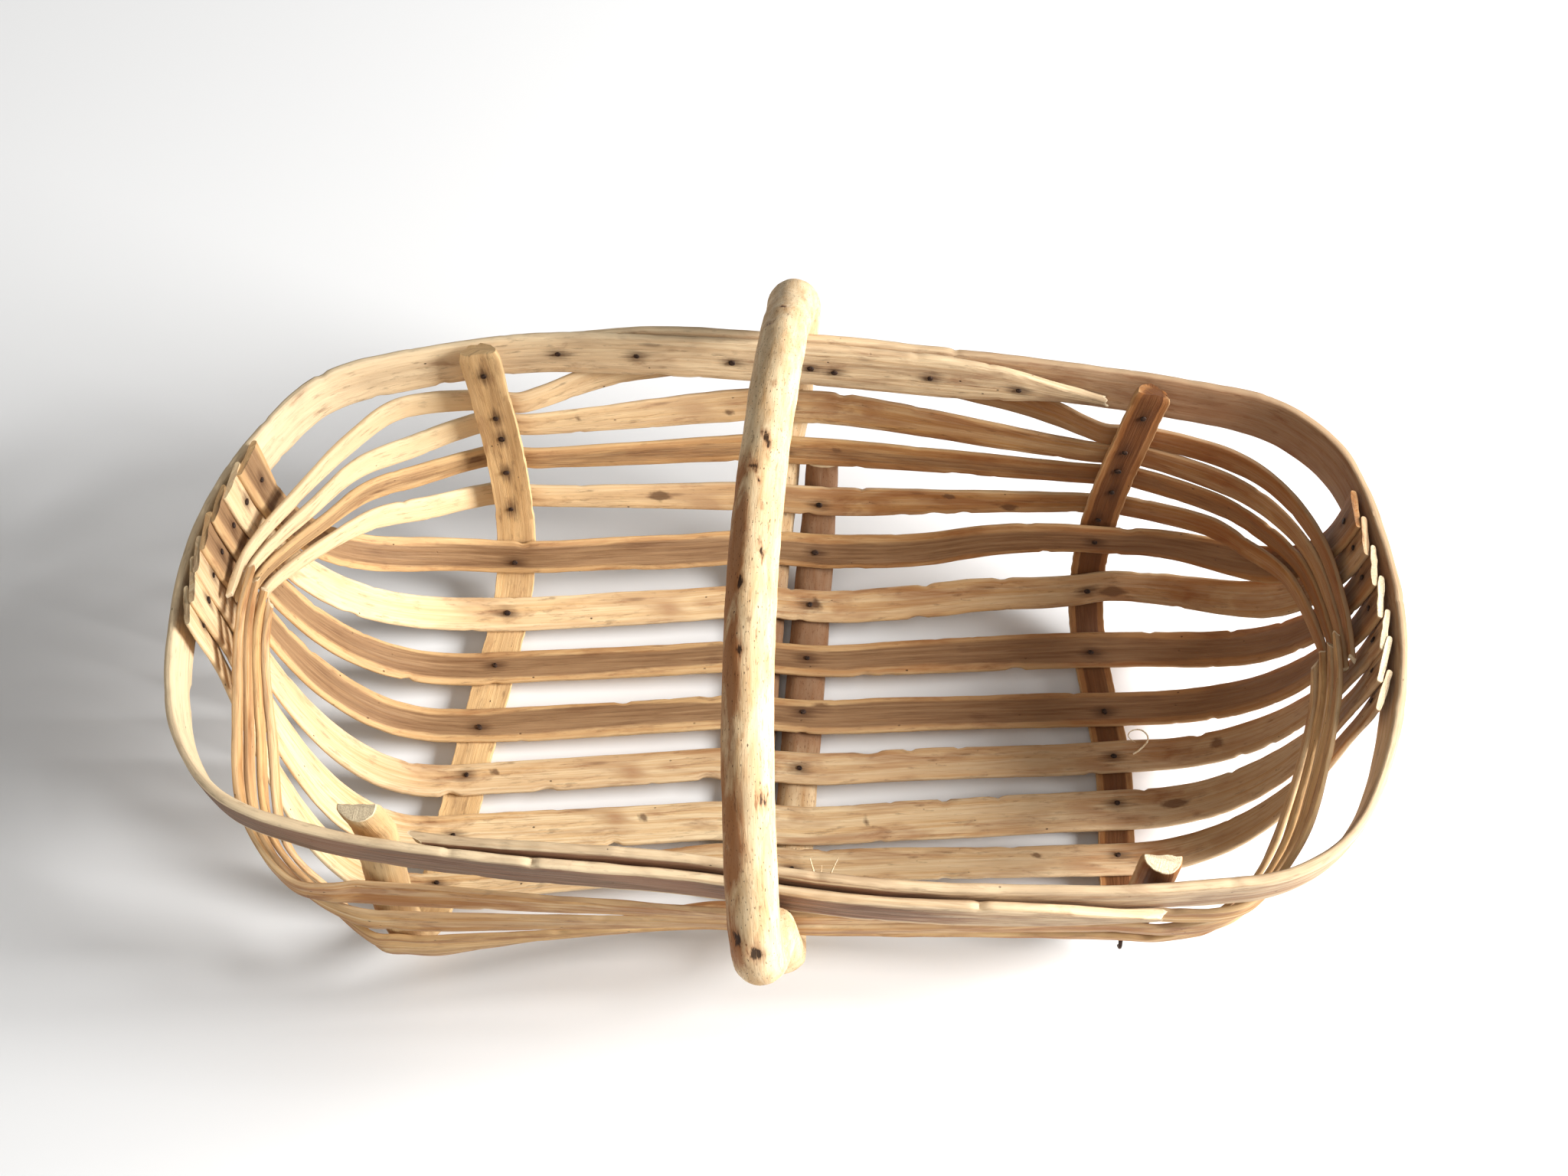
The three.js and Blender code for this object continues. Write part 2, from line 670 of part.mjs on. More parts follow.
function archStations(backFoot, frontFoot) {
  const arch = archShares.map(([yShare, zShare, xShare, sizeShare]) => ({
    at: new THREE.Vector3(xShare * halfLength, yShare * halfWidth, zShare * handleHeight),
    wide: handleDiameter / 2 * sizeShare,
    deep: handleDiameter / 2 * sizeShare,
  }));
  const knots = [...backFoot.slice(-2), ...arch, ...frontFoot.slice(0, 2)];
  const curve = new THREE.CatmullRomCurve3(knots.map((k) => k.at), false, 'centripetal');
  const legs = knots.length - 1;
  const stations = [];
  for (let i = 1; i < archSteps; i += 1) {
    const place = mix(1, legs - 1, i / archSteps);
    const n = Math.floor(place);
    const s = smooth(place - n);
    stations.push({
      at: curve.getPoint(place / legs),
      wide: mix(knots[n].wide, knots[n + 1].wide, s),
      deep: mix(knots[n].deep, knots[n + 1].deep, s),
      round: 1,
    });
  }
  return stations;
}

function handleGeometry() {
  const backFoot = footStations(backFootShares);
  const frontFoot = footStations(frontFootShares);
  const stations = [...backFoot, ...archStations(backFoot, frontFoot), ...frontFoot]
    .map((s) => ({ ...s, across: new THREE.Vector3(1, 0, 0) }));
  const rings = withFrames(stations).map(({ at, across, through, wide, deep, round }) => {
    const power = mix(footSquareness, 1, round);
    const ring = [];
    for (let k = 0; k < handleSides; k += 1) {
      const angle = (k + 0.5) / handleSides * 2 * Math.PI;
      const c = Math.cos(angle);
      const s = Math.sin(angle);
      ring.push(at.clone()
        .addScaledVector(across, wide * Math.sign(c) * Math.pow(Math.abs(c), power))
        .addScaledVector(through, deep * Math.sign(s) * Math.pow(Math.abs(s), power)));
    }
    return ring;
  });
  return loft(rings);
}

// Assembly

const leftTipShares = { back: 0.53, front: 0.63 };
const rightTipShares = { back: 0.53, front: 0.57 };

const rimWood = { color: 0xb08a55, roughness: 0.75 };
const ribWood = { color: 0xb5854a, roughness: 0.75 };
const splitWood = { color: 0xd2a86a, roughness: 0.7 };
const barkWood = { color: 0x8d7350, roughness: 0.85 };
const poleWood = { color: 0xd9b987, roughness: 0.6 };

const basket = new THREE.Group();

function addPiece(name, geometry, wood) {
  const mesh = new THREE.Mesh(geometry, new THREE.MeshStandardMaterial(wood));
  mesh.name = name;
  basket.add(mesh);
}

addPiece('rim_left', rimStrip(-1, leftTipShares), rimWood);
addPiece('rim_right', rimStrip(1, rightTipShares), rimWood);
addPiece('rib_left', ribGeometry(ribs.left), ribWood);
addPiece('rib_right', ribGeometry(ribs.right), ribWood);
addPiece('handle', handleGeometry(), poleWood);

const barkFloorSlats = [0, 2, 3];
floorSlats.forEach((slat, i) => {
  addPiece(`floor_slat_${i + 1}`, floorSlat(slat), barkFloorSlats.includes(i) ? barkWood : splitWood);
});
const barkSideSlat = 2;
for (const [side, list] of Object.entries(sideSlats)) {
  const face = side === 'back' ? 1 : -1;
  list.forEach((slat, i) => {
    addPiece(`${side}_slat_${i + 1}`, sideSlat(slat, face), i === barkSideSlat ? barkWood : splitWood);
  });
}

// The origin lies at the bottom centre of the bounding box.
const box = new THREE.Box3().setFromObject(basket);
const bottomCentre = box.getCenter(new THREE.Vector3()).setZ(box.min.z);
for (const piece of basket.children) {
  piece.position.sub(bottomCentre);
}

export default basket;
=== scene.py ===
# %% [markdown]
# # A wooden harvest basket
# The basket is a long, round-ended trug. Two bent strips of split wood make its
# rim, two half-round ribs and one bent pole hold its shape, and fifteen thin
# laths, nailed where they cross, close its floor and its walls.
# The solid model gives every piece its place and size. Here each plain strip
# becomes a piece of real split wood: its edges wander, its faces follow the
# fibres, its ends are torn or cut, and bark is left where the log had it.

# %% The solid model
import math
import bpy
import numpy as np
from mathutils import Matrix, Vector, noise


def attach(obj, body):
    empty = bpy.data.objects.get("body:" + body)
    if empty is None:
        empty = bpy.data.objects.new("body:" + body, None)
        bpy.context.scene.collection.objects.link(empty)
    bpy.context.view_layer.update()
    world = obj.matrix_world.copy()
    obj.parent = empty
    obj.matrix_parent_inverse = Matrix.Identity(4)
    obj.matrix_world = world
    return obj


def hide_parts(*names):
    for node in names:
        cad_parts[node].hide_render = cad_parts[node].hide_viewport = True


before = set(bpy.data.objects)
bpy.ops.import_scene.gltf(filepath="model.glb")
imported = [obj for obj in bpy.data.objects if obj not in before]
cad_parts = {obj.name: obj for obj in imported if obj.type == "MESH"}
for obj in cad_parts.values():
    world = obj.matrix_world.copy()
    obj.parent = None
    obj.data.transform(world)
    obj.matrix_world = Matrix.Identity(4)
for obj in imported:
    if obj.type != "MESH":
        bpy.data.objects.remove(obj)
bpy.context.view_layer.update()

# %% [markdown]
# ## Where each strip runs
# Every strip of the solid model is a row of rings, one behind the other, from
# one end of the strip to the other. Counting steps along the mesh from both
# ends gives each ring its number. From a ring come its centre, the direction
# across the strip, the direction through it (towards the inside of the
# basket), and half of its width and thickness. A piece of wood is later laid
# along this line, so it stays exactly where the solid strip is.

# %% Reading the rings of a strip
MICRON_PLACES = 6


def steps_from(start, near):
    """How many edges lie between the start and every other vertex."""
    steps = np.full(len(near), -1)
    steps[start] = 0
    front = [start]
    while front:
        following = []
        for vertex in front:
            for other in near[vertex]:
                if steps[other] < 0:
                    steps[other] = steps[vertex] + 1
                    following.append(other)
        front = following
    return steps


def rings_of(node):
    """The rings of one solid strip, in order, as arrays of points."""
    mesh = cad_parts[node].data
    places, number = {}, []
    for vertex in mesh.vertices:
        key = tuple(round(x, MICRON_PLACES) for x in vertex.co)
        number.append(places.setdefault(key, len(places)))
    points = np.array(list(places))
    near = [set() for _ in points]
    for edge in mesh.edges:
        a, b = (number[k] for k in edge.vertices)
        if a != b:
            near[a].add(b)
            near[b].add(a)
    one_end = int(np.argmax(steps_from(0, near)))
    forward = steps_from(one_end, near)
    other_end = int(np.argmax(forward))
    backward = steps_from(other_end, near)
    last = forward[other_end]
    index = np.where(forward > last / 2, forward, last - backward)
    return [points[index == k] for k in range(last + 1)]


print("rings in the left rim strip:", len(rings_of("rim_left")))

# %% [markdown]
# A ring alone does not say which of its faces looks into the basket. The
# middle ring of each strip decides: floor pieces look up there, wall pieces
# look at the basket's middle, and the pole's arch looks down. All other rings
# follow their neighbour, so no strip flips over on its way.

# %% The line of a strip
FLOOR_LOOKS_UP = Vector((0, 0, 1))
ARCH_LOOKS_DOWN = Vector((0, 0, -1))
LEFT_TO_RIGHT = np.array([1.0, 0.0, 0.0])


def unit(vectors):
    """The same directions, one unit long."""
    return vectors / np.linalg.norm(vectors, axis=-1, keepdims=True)


def running_length(points):
    """How far each point is from the first, along all points between."""
    return np.concatenate([[0], np.cumsum(np.linalg.norm(np.diff(points, axis=0), axis=1))])


def line_of(node, inward=None):
    """Centres, directions and half sizes along one solid strip, ring by ring."""
    rings = rings_of(node)
    centres = np.array([ring.mean(axis=0) for ring in rings])
    along = unit(np.gradient(centres, axis=0))
    across = []
    for ring, centre, direction in zip(rings, centres, along):
        if node == "handle":
            side = LEFT_TO_RIGHT - direction * (LEFT_TO_RIGHT @ direction)
        else:
            flat = ring - centre
            side = np.linalg.svd(flat - np.outer(flat @ direction, direction))[2][0]
        if across and side @ across[-1] < 0:
            side = -side
        across.append(side)
    across = unit(np.array(across))
    through = unit(np.cross(along, across))
    middle = len(rings) // 2
    wanted = inward if inward is not None else Vector((*-centres[middle][:2], 0))
    if through[middle] @ np.array(wanted) < 0:
        across, through = -across, -through
    half_width, half_thickness, settled = [], [], []
    for ring, centre, side, depth in zip(rings, centres, across, through):
        a, t = (ring - centre) @ side, (ring - centre) @ depth
        half_width.append((a.max() - a.min()) / 2)
        half_thickness.append((t.max() - t.min()) / 2)
        settled.append(centre + side * (a.max() + a.min()) / 2 + depth * (t.max() + t.min()) / 2)
    centres = np.array(settled)
    return {"length": running_length(centres), "centre": centres,
            "across": across, "through": through,
            "half_width": np.array(half_width), "half_thickness": np.array(half_thickness)}


FLOOR_SLATS = [f"floor_slat_{k}" for k in range(1, 8)]
BACK_SLATS = [f"back_slat_{k}" for k in range(1, 5)]
FRONT_SLATS = [f"front_slat_{k}" for k in range(1, 5)]
RIBS = ["rib_left", "rib_right"]
RIMS = ["rim_left", "rim_right"]

lines = {name: line_of(name) for name in BACK_SLATS + FRONT_SLATS + RIMS}
lines.update({name: line_of(name, FLOOR_LOOKS_UP) for name in FLOOR_SLATS + RIBS})
lines["handle"] = line_of("handle", ARCH_LOOKS_DOWN)
for name in ("floor_slat_4", "rim_left", "rib_left", "handle"):
    print(name, "is", round(lines[name]["length"][-1], 3), "m long")

# %% [markdown]
# ## Laying wood along a line
# On the real basket a lath is split from a stick, so it has two wide faces and
# two narrow, slightly rounded edges. By hand one would take a flat sheet, roll
# it up into a flat tube, close both ends and push every point about a little.
# The sheet here is a grid: its rows run along the wood and its columns go once
# around it. The grid is rolled around the line by a small calculation, because
# no single tool bends a section along such a line, and the sheet's own flat
# map is kept in metres, so the grain follows the wood through every bend.

# %% Rolling a grid into a piece of wood
GRAIN = "grain"
SEAM_CLOSE = 1e-7
SMOOTH_ANGLE = math.radians(50)
# how far the seeds of two random lines lie apart, and what brings their values up to about 1
SEED_STEPS, LAYER_STEP, RANDOM_GAIN = (3.7, 1.3), 2.9, 1.6


def only(obj):
    """Leaves obj as the one selected and active object."""
    bpy.ops.object.select_all(action="DESELECT")
    obj.select_set(True)
    bpy.context.view_layer.objects.active = obj


def at(line, key, place):
    """One quantity of the line at the given lengths along it."""
    values = line[key]
    if values.ndim == 1:
        return np.interp(place, line["length"], values)
    mixed = np.stack([np.interp(place, line["length"], values[:, k]) for k in range(3)], axis=-1)
    return mixed if key == "centre" else unit(mixed)


def centre_at(line, place):
    """The centre line as a smooth curve through the ring centres."""
    length, centres = line["length"], line["centre"]
    slopes = np.gradient(centres, length, axis=0)
    k = np.clip(np.searchsorted(length, place, side="right") - 1, 0, len(length) - 2)
    step = (length[k + 1] - length[k])[..., None]
    t = (np.asarray(place)[..., None] - length[k][..., None]) / step
    return ((2 * t**3 - 3 * t**2 + 1) * centres[k] + (t**3 - 2 * t**2 + t) * step * slopes[k]
            + (3 * t**2 - 2 * t**3) * centres[k + 1] + (t**3 - t**2) * step * slopes[k + 1])


def wander(place, seed, size):
    """A smooth random value from about -1 to 1 that changes over the given size."""
    flat = np.asarray(place, dtype=float).ravel()
    seeds = np.broadcast_to(seed, flat.shape)
    values = [noise.noise(Vector((x / size, s * SEED_STEPS[0], s * SEED_STEPS[1])))
              for x, s in zip(flat, seeds)]
    return RANDOM_GAIN * np.array(values).reshape(np.shape(place))


def one_random(*place):
    """One smooth random value, from about -1 to 1, at a place given by three numbers."""
    return noise.noise(Vector(place))


def wander_2d(a, b, seed, size_a, size_b):
    """The same over two lengths at once."""
    flat = zip(np.ravel(a), np.ravel(b))
    values = [noise.noise(Vector((x / size_a, y / size_b, seed * LAYER_STEP))) for x, y in flat]
    return RANDOM_GAIN * np.array(values).reshape(np.shape(a))


def rolled_grid(name, rows, columns):
    """A flat grid with its own map, ready to be rolled, and the row and column of each vertex."""
    bpy.ops.object.select_all(action="DESELECT")
    bpy.ops.mesh.primitive_grid_add(x_subdivisions=rows, y_subdivisions=columns,
                                    size=1, calc_uvs=True)
    piece = bpy.context.active_object
    piece.name = name
    piece.data.name = name
    piece.data.uv_layers[0].name = GRAIN
    flat = np.array([v.co[:] for v in piece.data.vertices])
    return (piece, np.rint((flat[:, 0] + 0.5) * rows).astype(int),
            np.rint((flat[:, 1] + 0.5) * columns).astype(int))


def write_mark(piece, name, values):
    """Stores one value per vertex, such as how much bark there is, for the material."""
    mark = piece.data.attributes.new(name, "FLOAT", "POINT")
    mark.data.foreach_set("value", np.ascontiguousarray(values, dtype=np.float32))


def close_up(piece):
    """Joins the rolled seam, closes both ends and makes the faces look outwards."""
    only(piece)
    bpy.ops.object.mode_set(mode="EDIT")
    bpy.ops.mesh.select_all(action="SELECT")
    bpy.ops.mesh.remove_doubles(threshold=SEAM_CLOSE)
    bpy.ops.mesh.select_all(action="DESELECT")
    bpy.ops.mesh.select_mode(type="EDGE")
    bpy.ops.mesh.select_non_manifold()
    bpy.ops.mesh.edge_face_add()
    bpy.ops.mesh.select_all(action="SELECT")
    bpy.ops.mesh.normals_make_consistent(inside=False)
    bpy.ops.mesh.select_mode(type="VERT")
    bpy.ops.object.mode_set(mode="OBJECT")
    bpy.ops.object.shade_smooth_by_angle(angle=SMOOTH_ANGLE)


def roll(name, line, row_length, section, shape, marks):
    """Lays a piece of wood along a line.

    section holds points around the wood as shares of its half width and half
    thickness. shape moves the points, some also past the line's ends, where
    they go straight on. marks gives the values for the material.
    """
    end = line["length"][-1]
    rows = int(end / row_length)
    piece, row, column = rolled_grid(name, rows, len(section))
    ring = np.array(section + [section[0]])
    share = ring[column]
    place = row / rows * end
    half_width, half_thickness = at(line, "half_width", place), at(line, "half_thickness", place)
    place, side, depth = shape(place, share, share[:, 0] * half_width, share[:, 1] * half_thickness)
    beyond = place - np.clip(place, 0, end)
    place = place - beyond
    first_way = unit(line["centre"][1] - line["centre"][0])
    last_way = unit(line["centre"][-1] - line["centre"][-2])
    points = (centre_at(line, place) + at(line, "across", place) * side[:, None]
              + np.minimum(beyond, 0)[:, None] * first_way
              + np.maximum(beyond, 0)[:, None] * last_way
              + at(line, "through", place) * depth[:, None])
    piece.data.vertices.foreach_set("co", points.ravel())
    for mark, values in marks(place, share, side).items():
        write_mark(piece, mark, values)
    first, last = line.get("cut", (1.0, 1.0))
    write_mark(piece, "cut", first * (row == 0) + last * (row == rows))
    girth = running_length(ring * [half_width.max(), half_thickness.max()])
    corners = np.array([loop.vertex_index for loop in piece.data.loops])
    flat = np.stack([row[corners] / rows * end, girth[column[corners]]], axis=-1)
    piece.data.uv_layers[GRAIN].data.foreach_set("uv", flat.astype(np.float32).ravel())
    close_up(piece)
    return piece


# %% [markdown]
# ## What splitting does to a lath
# A split follows the fibres, so both edges wander by a millimetre or so, swell
# beside a knot and have short notches where a fibre bundle came away. The
# faces are a little hollow or crowned and never quite even. The ends are cut
# roughly or torn into a point. These are the same few habits for all laths, so
# they are written once; each lath gets its own seed and so its own edges.

# %% The shape of split wood
LATH_SECTION = [(-0.9, -0.93), (-0.6, -1), (-0.3, -1), (0, -1), (0.3, -1), (0.6, -1), (0.9, -0.93),
                (0.975, -0.7), (1, -0.25), (1, 0.25), (0.975, 0.7),
                (0.9, 0.93), (0.6, 1), (0.3, 1), (0, 1), (-0.3, 1), (-0.6, 1), (-0.9, 0.93),
                (-0.975, 0.7), (-1, 0.25), (-1, -0.25), (-0.975, -0.7)]
ROW_LENGTH = 0.0026
SLOW_EDGE, QUICK_EDGE = 0.07, 0.012
SLOW_EDGE_SHARE, QUICK_EDGE_SHARE = 0.05, 0.018
NOTCH_LENGTH, NOTCH_LEVEL, NOTCH_SHARE = 0.011, 0.62, 0.3
FACE_RIPPLE, FACE_RIPPLE_LENGTH, FACE_RIPPLE_WIDTH = 0.00028, 0.02, 0.004
CROWN_SHARE, CROWN_LENGTH = 0.1, 0.08
EDGE_LOSS, MOST_SWELLING, MOST_LOSS, RIPPLE_LOSS = 0.3, 0.04, 0.4, 0.6
TIP_POWER = 1.5
TEAR_REACH, TEAR_WIDTH, TEAR_DEPTH = 0.02, 0.006, 0.004
# what is added to a piece's seed for each of its edges and each of its habits
LEFT_EDGE, RIGHT_EDGE = 0.31, 0.77
RIPPLE_SEED, CROWN_SEED, QUICK_SEED, TEAR_SEED, NOTCH_SEED = 2, 4, 5, 7, 9


def near_end(place, end, reach):
    """1 at both ends of a piece, falling to 0 at the given reach from them."""
    return np.clip(1 - np.minimum(place, end - place) / reach, 0, 1)


def split_shape(line, seed, tears, tip=None, broad=None):
    """How a lath's points move: wandering edges, uneven faces, torn, tapering or broad ends."""
    end = line["length"][-1]
    left_first = line["centre"][0][0] < 0

    def shape(place, share, side, depth):
        per_side = seed + np.where(share[:, 0] < 0, LEFT_EDGE, RIGHT_EDGE)
        slow = wander(place, per_side, SLOW_EDGE)
        quick = wander(place, per_side + QUICK_SEED, QUICK_EDGE)
        notch = wander(place, per_side + NOTCH_SEED, NOTCH_LENGTH)
        loss = (SLOW_EDGE_SHARE * (EDGE_LOSS + slow) + QUICK_EDGE_SHARE * quick
                + NOTCH_SHARE * np.clip(notch - NOTCH_LEVEL, 0, None))
        side = side * (1 - np.clip(loss, -MOST_SWELLING, MOST_LOSS) * np.abs(share[:, 0]))
        ripple = wander_2d(place, side, seed + RIPPLE_SEED, FACE_RIPPLE_LENGTH, FACE_RIPPLE_WIDTH)
        depth = depth - share[:, 1] * FACE_RIPPLE * (RIPPLE_LOSS + ripple)
        crown = 1 + wander(place, seed + CROWN_SEED, CROWN_LENGTH)
        depth = depth * (1 - CROWN_SHARE * share[:, 0] ** 2 * crown)
        if tip:
            tip_length, tip_share, tip_lean = tip
            near = near_end(place, end, tip_length) ** TIP_POWER
            half = np.abs(side).max()
            side = side * (1 - (1 - tip_share) * near) + tip_lean * half * near
        if broad:
            broad_length, broad_share, broad_tilt = broad[:3]
            near = near_end(place, end, broad_length)
            near = near * near * (3 - 2 * near)
            side = side * (1 + broad_share * near)
            depth = depth + broad_tilt * side * near
        tear = wander_2d(side, depth, seed + TEAR_SEED, TEAR_WIDTH, TEAR_DEPTH)
        moved = place
        for tear_length, from_end, towards in ((tears[0], place, 1), (tears[1], end - place, -1)):
            fade = np.clip(1 - from_end / TEAR_REACH, 0, 1)
            moved = moved + towards * fade * tear_length * (1 + tear) / 2
            if broad:
                rise = broad[3] if (towards > 0) == left_first else broad[4]
                moved = moved - towards * fade * rise
        return moved, side, depth

    return shape


# %% [markdown]
# ## Where the nails go
# Wherever a lath crosses a rib or the pole, one small nail holds it. It is
# driven from the inside of the basket, through the piece that lies innermost,
# and never quite in its middle. The places come first, because iron stains
# the wood around a nail and the wood's own marks need to know where.

# %% Finding the places of the nails
NAIL_REACH = 0.022
CROSSING_STEPS, RIM_STEPS = 600, 900
NAIL_SIDE_WANDER = 0.007
# how far the random values of neighbouring nails lie apart
SLAT_STEP, RIB_STEP, NAIL_LAYER = 1.7, 2.3, 0.5


def crossing(one, other, wall=0):
    """Where two lines pass closest, on one wall if asked: both lengths along them and the gap."""
    fine = [np.linspace(0, lines[name]["length"][-1], CROSSING_STEPS) for name in (one, other)]
    points = [centre_at(lines[name], f) for name, f in zip((one, other), fine)]
    gaps = np.linalg.norm(points[0][:, None] - points[1][None], axis=-1)
    gaps = gaps + np.where(points[0][:, 1] * wall < 0, 1.0, 0.0)[:, None]
    a, b = np.unravel_index(np.argmin(gaps), gaps.shape)
    return fine[0][a], fine[1][b], gaps[a, b]


nail_spots = []


def note_nail(name, place, side):
    """Notes a nail on the face of a piece that looks into the basket."""
    line = lines[name]
    normal = at(line, "through", place)
    spot = (centre_at(line, place) + normal * at(line, "half_thickness", place)
            + at(line, "across", place) * side)
    nail_spots.append({"on": name, "place": float(place), "side": side,
                       "spot": spot, "normal": normal})


def nail_through(one, other, side=0.0, wall=0):
    """Notes a nail where two pieces cross, on the one that lies further inside."""
    place_one, place_other, gap = crossing(one, other, wall)
    if gap > NAIL_REACH:
        return
    outward = centre_at(lines[other], place_other) - centre_at(lines[one], place_one)
    if outward @ at(lines[one], "through", place_one) < 0:
        note_nail(one, place_one, side)
    else:
        note_nail(other, place_other, side)


for slat_number, slat in enumerate(BACK_SLATS + FRONT_SLATS + FLOOR_SLATS):
    for rib_number, rib in enumerate(RIBS + ["handle"]):
        random = one_random(slat_number * SLAT_STEP, rib_number * RIB_STEP, NAIL_LAYER)
        nail_through(slat, rib, NAIL_SIDE_WANDER * random)
for rim, rib in zip(RIMS, RIBS):
    nail_through(rim, rib, wall=1)
print("nails where laths cross the ribs and the pole:", len(nail_spots))

# %% [markdown]
# Each floor lath is also nailed to the rim strip at both of its raised ends,
# and the two rim strips are nailed to each other where they lap, seven times
# along the back and six times along the front.

# %% Nails in the rim
RIM_BACK_NAIL_X = (-0.149, -0.102, -0.045, 0.001, 0.016, 0.072, 0.125)
RIM_FRONT_NAIL_X = (-0.155, -0.09, -0.03, 0.045, 0.11, 0.165)
END_NAIL_DROP = 0.012
RIM_NAIL_WANDER, RIM_NAIL_STEP, RIM_NAIL_LAYER = 0.006, 90, 3.1


def place_at_x(rim, x, behind):
    """How far along a rim strip it passes x, at the back or at the front of the basket."""
    fine = np.linspace(0, lines[rim]["length"][-1], RIM_STEPS)
    points = centre_at(lines[rim], fine)
    reach = np.abs(points[:, 0] - x) + np.where((points[:, 1] > 0) == behind, 0, 1)
    return float(fine[np.argmin(reach)])


for slat in FLOOR_SLATS:
    for place in (END_NAIL_DROP, lines[slat]["length"][-1] - END_NAIL_DROP):
        note_nail(slat, place, 0.0)
for rim, nail_x, behind in (("rim_left", RIM_BACK_NAIL_X, True),
                            ("rim_right", RIM_FRONT_NAIL_X, False)):
    for x in nail_x:
        rise = RIM_NAIL_WANDER * one_random(x * RIM_NAIL_STEP, RIM_NAIL_LAYER, 0)
        note_nail(rim, place_at_x(rim, x, behind), rise)
print("nails in all:", len(nail_spots))

# %% [markdown]
# ## Marks in the wood
# A few values travel with each piece for its material: how much bark a face
# carries, how near a point is to an edge or to a knot, how close a nail is,
# how brown the wood is there, with painted shade at the right end, how pale
# it is painted at the left end as painted light, the piece's own tone and where
# it is cut. Bark sits in the middle of a face, because a lath split from a round
# stick keeps the skin there while its edges are light wood. The left end is
# painted paler, as painted light where the daylight falls in. The right end
# is painted browner, partly the wood's own brown and partly painted shade
# inside the right end.

# %% Values for the materials
STAIN_LENGTH, STAIN_WIDTH = 0.0085, 0.0042
FACE_BORDER = 4
BARK_WANDER, BARK_WANDER_LENGTH, BARK_SKEW_LENGTH, BARK_BORDER = 0.07, 0.09, 0.11, 5.0
BARK_SEED, SKEW_SEED = 11, 13
EDGE_POWER = 6
KNOT_NARROWNESS, KNOT_REACH = 0.42, 1.15
TONE_STEP = 12.9
# the brown and painted shade of the right end begin at the middle, and the painted
# light of the left end fades out towards the right
SHADE_AND_TAN_LENGTH, PAINTED_LIGHT_MIDDLE, PAINTED_LIGHT_LENGTH = 0.24, 0.2, 0.28
AGE_AND_PAINTED_LIGHT = {
    # how brown all over, how brown with painted shade at the right end, and how pale
    # with painted light at the left end
    "back_slat_1": (0.1, 0.5, 0.75), "back_slat_2": (0.0, 0.4, 0.75),
    "back_slat_3": (0.2, 0.4, 0.45), "back_slat_4": (0.0, 0.4, 0.7),
    "floor_slat_1": (0.2, 0.35, 0.3), "floor_slat_2": (0.0, 0.4, 0.4),
    "floor_slat_3": (0.25, 0.35, 0.25), "floor_slat_4": (0.25, 0.35, 0.2),
    "floor_slat_5": (0.12, 0.3, 0.15), "floor_slat_6": (0.0, 0.35, 0.0),
    "floor_slat_7": (0.0, 0.35, 0.0), "rim_left": (0.0, 0.0, 0.5),
    "rim_right": (0.08, 0.55, 0.0), "rib_left": (0.0, 0.0, 0.5), "rib_right": (0.55, 0.0, 0.0),
}
# the rim's bark is worn off towards the right
RIM_WORN_SHARE, RIM_WORN_LENGTH = 0.6, 0.12
# the rim's brown and painted shade are weaker on its front, and fade over a length round its end
RIM_FRONT_SHADE_AND_TAN, RIM_END_SHADE_AND_TAN, RIM_SHADE_AND_TAN_BLEND = 0.2, 0.6, 0.12
KNOTS_IN_LATHS = {
    # share along the lath, share across it, length of the knot in metres
    "back_slat_4": [(0.387, 0.1, 0.011), (0.655, -0.3, 0.008), (0.61, 0.5, 0.004)],
    "back_slat_2": [(0.44, -0.2, 0.006), (0.33, 0.3, 0.004)],
    "back_slat_3": [(0.25, 0.1, 0.008), (0.52, 0.2, 0.006)],
    "floor_slat_2": [(0.52, 0.1, 0.007), (0.74, -0.2, 0.012)],
    "floor_slat_3": [(0.44, -0.2, 0.009), (0.62, 0.3, 0.006)],
    "floor_slat_4": [(0.52, 0.35, 0.012), (0.63, -0.3, 0.008)],
    "floor_slat_5": [(0.3, 0.2, 0.004), (0.46, -0.3, 0.006), (0.8, 0.1, 0.009)],
    "floor_slat_6": [(0.41, 0.2, 0.005), (0.56, 0.1, 0.006), (0.77, 0.0, 0.01)],
    "floor_slat_7": [(0.35, -0.2, 0.005), (0.68, 0.2, 0.005)],
    "front_slat_2": [(0.28, 0.1, 0.007), (0.56, -0.2, 0.005)],
}


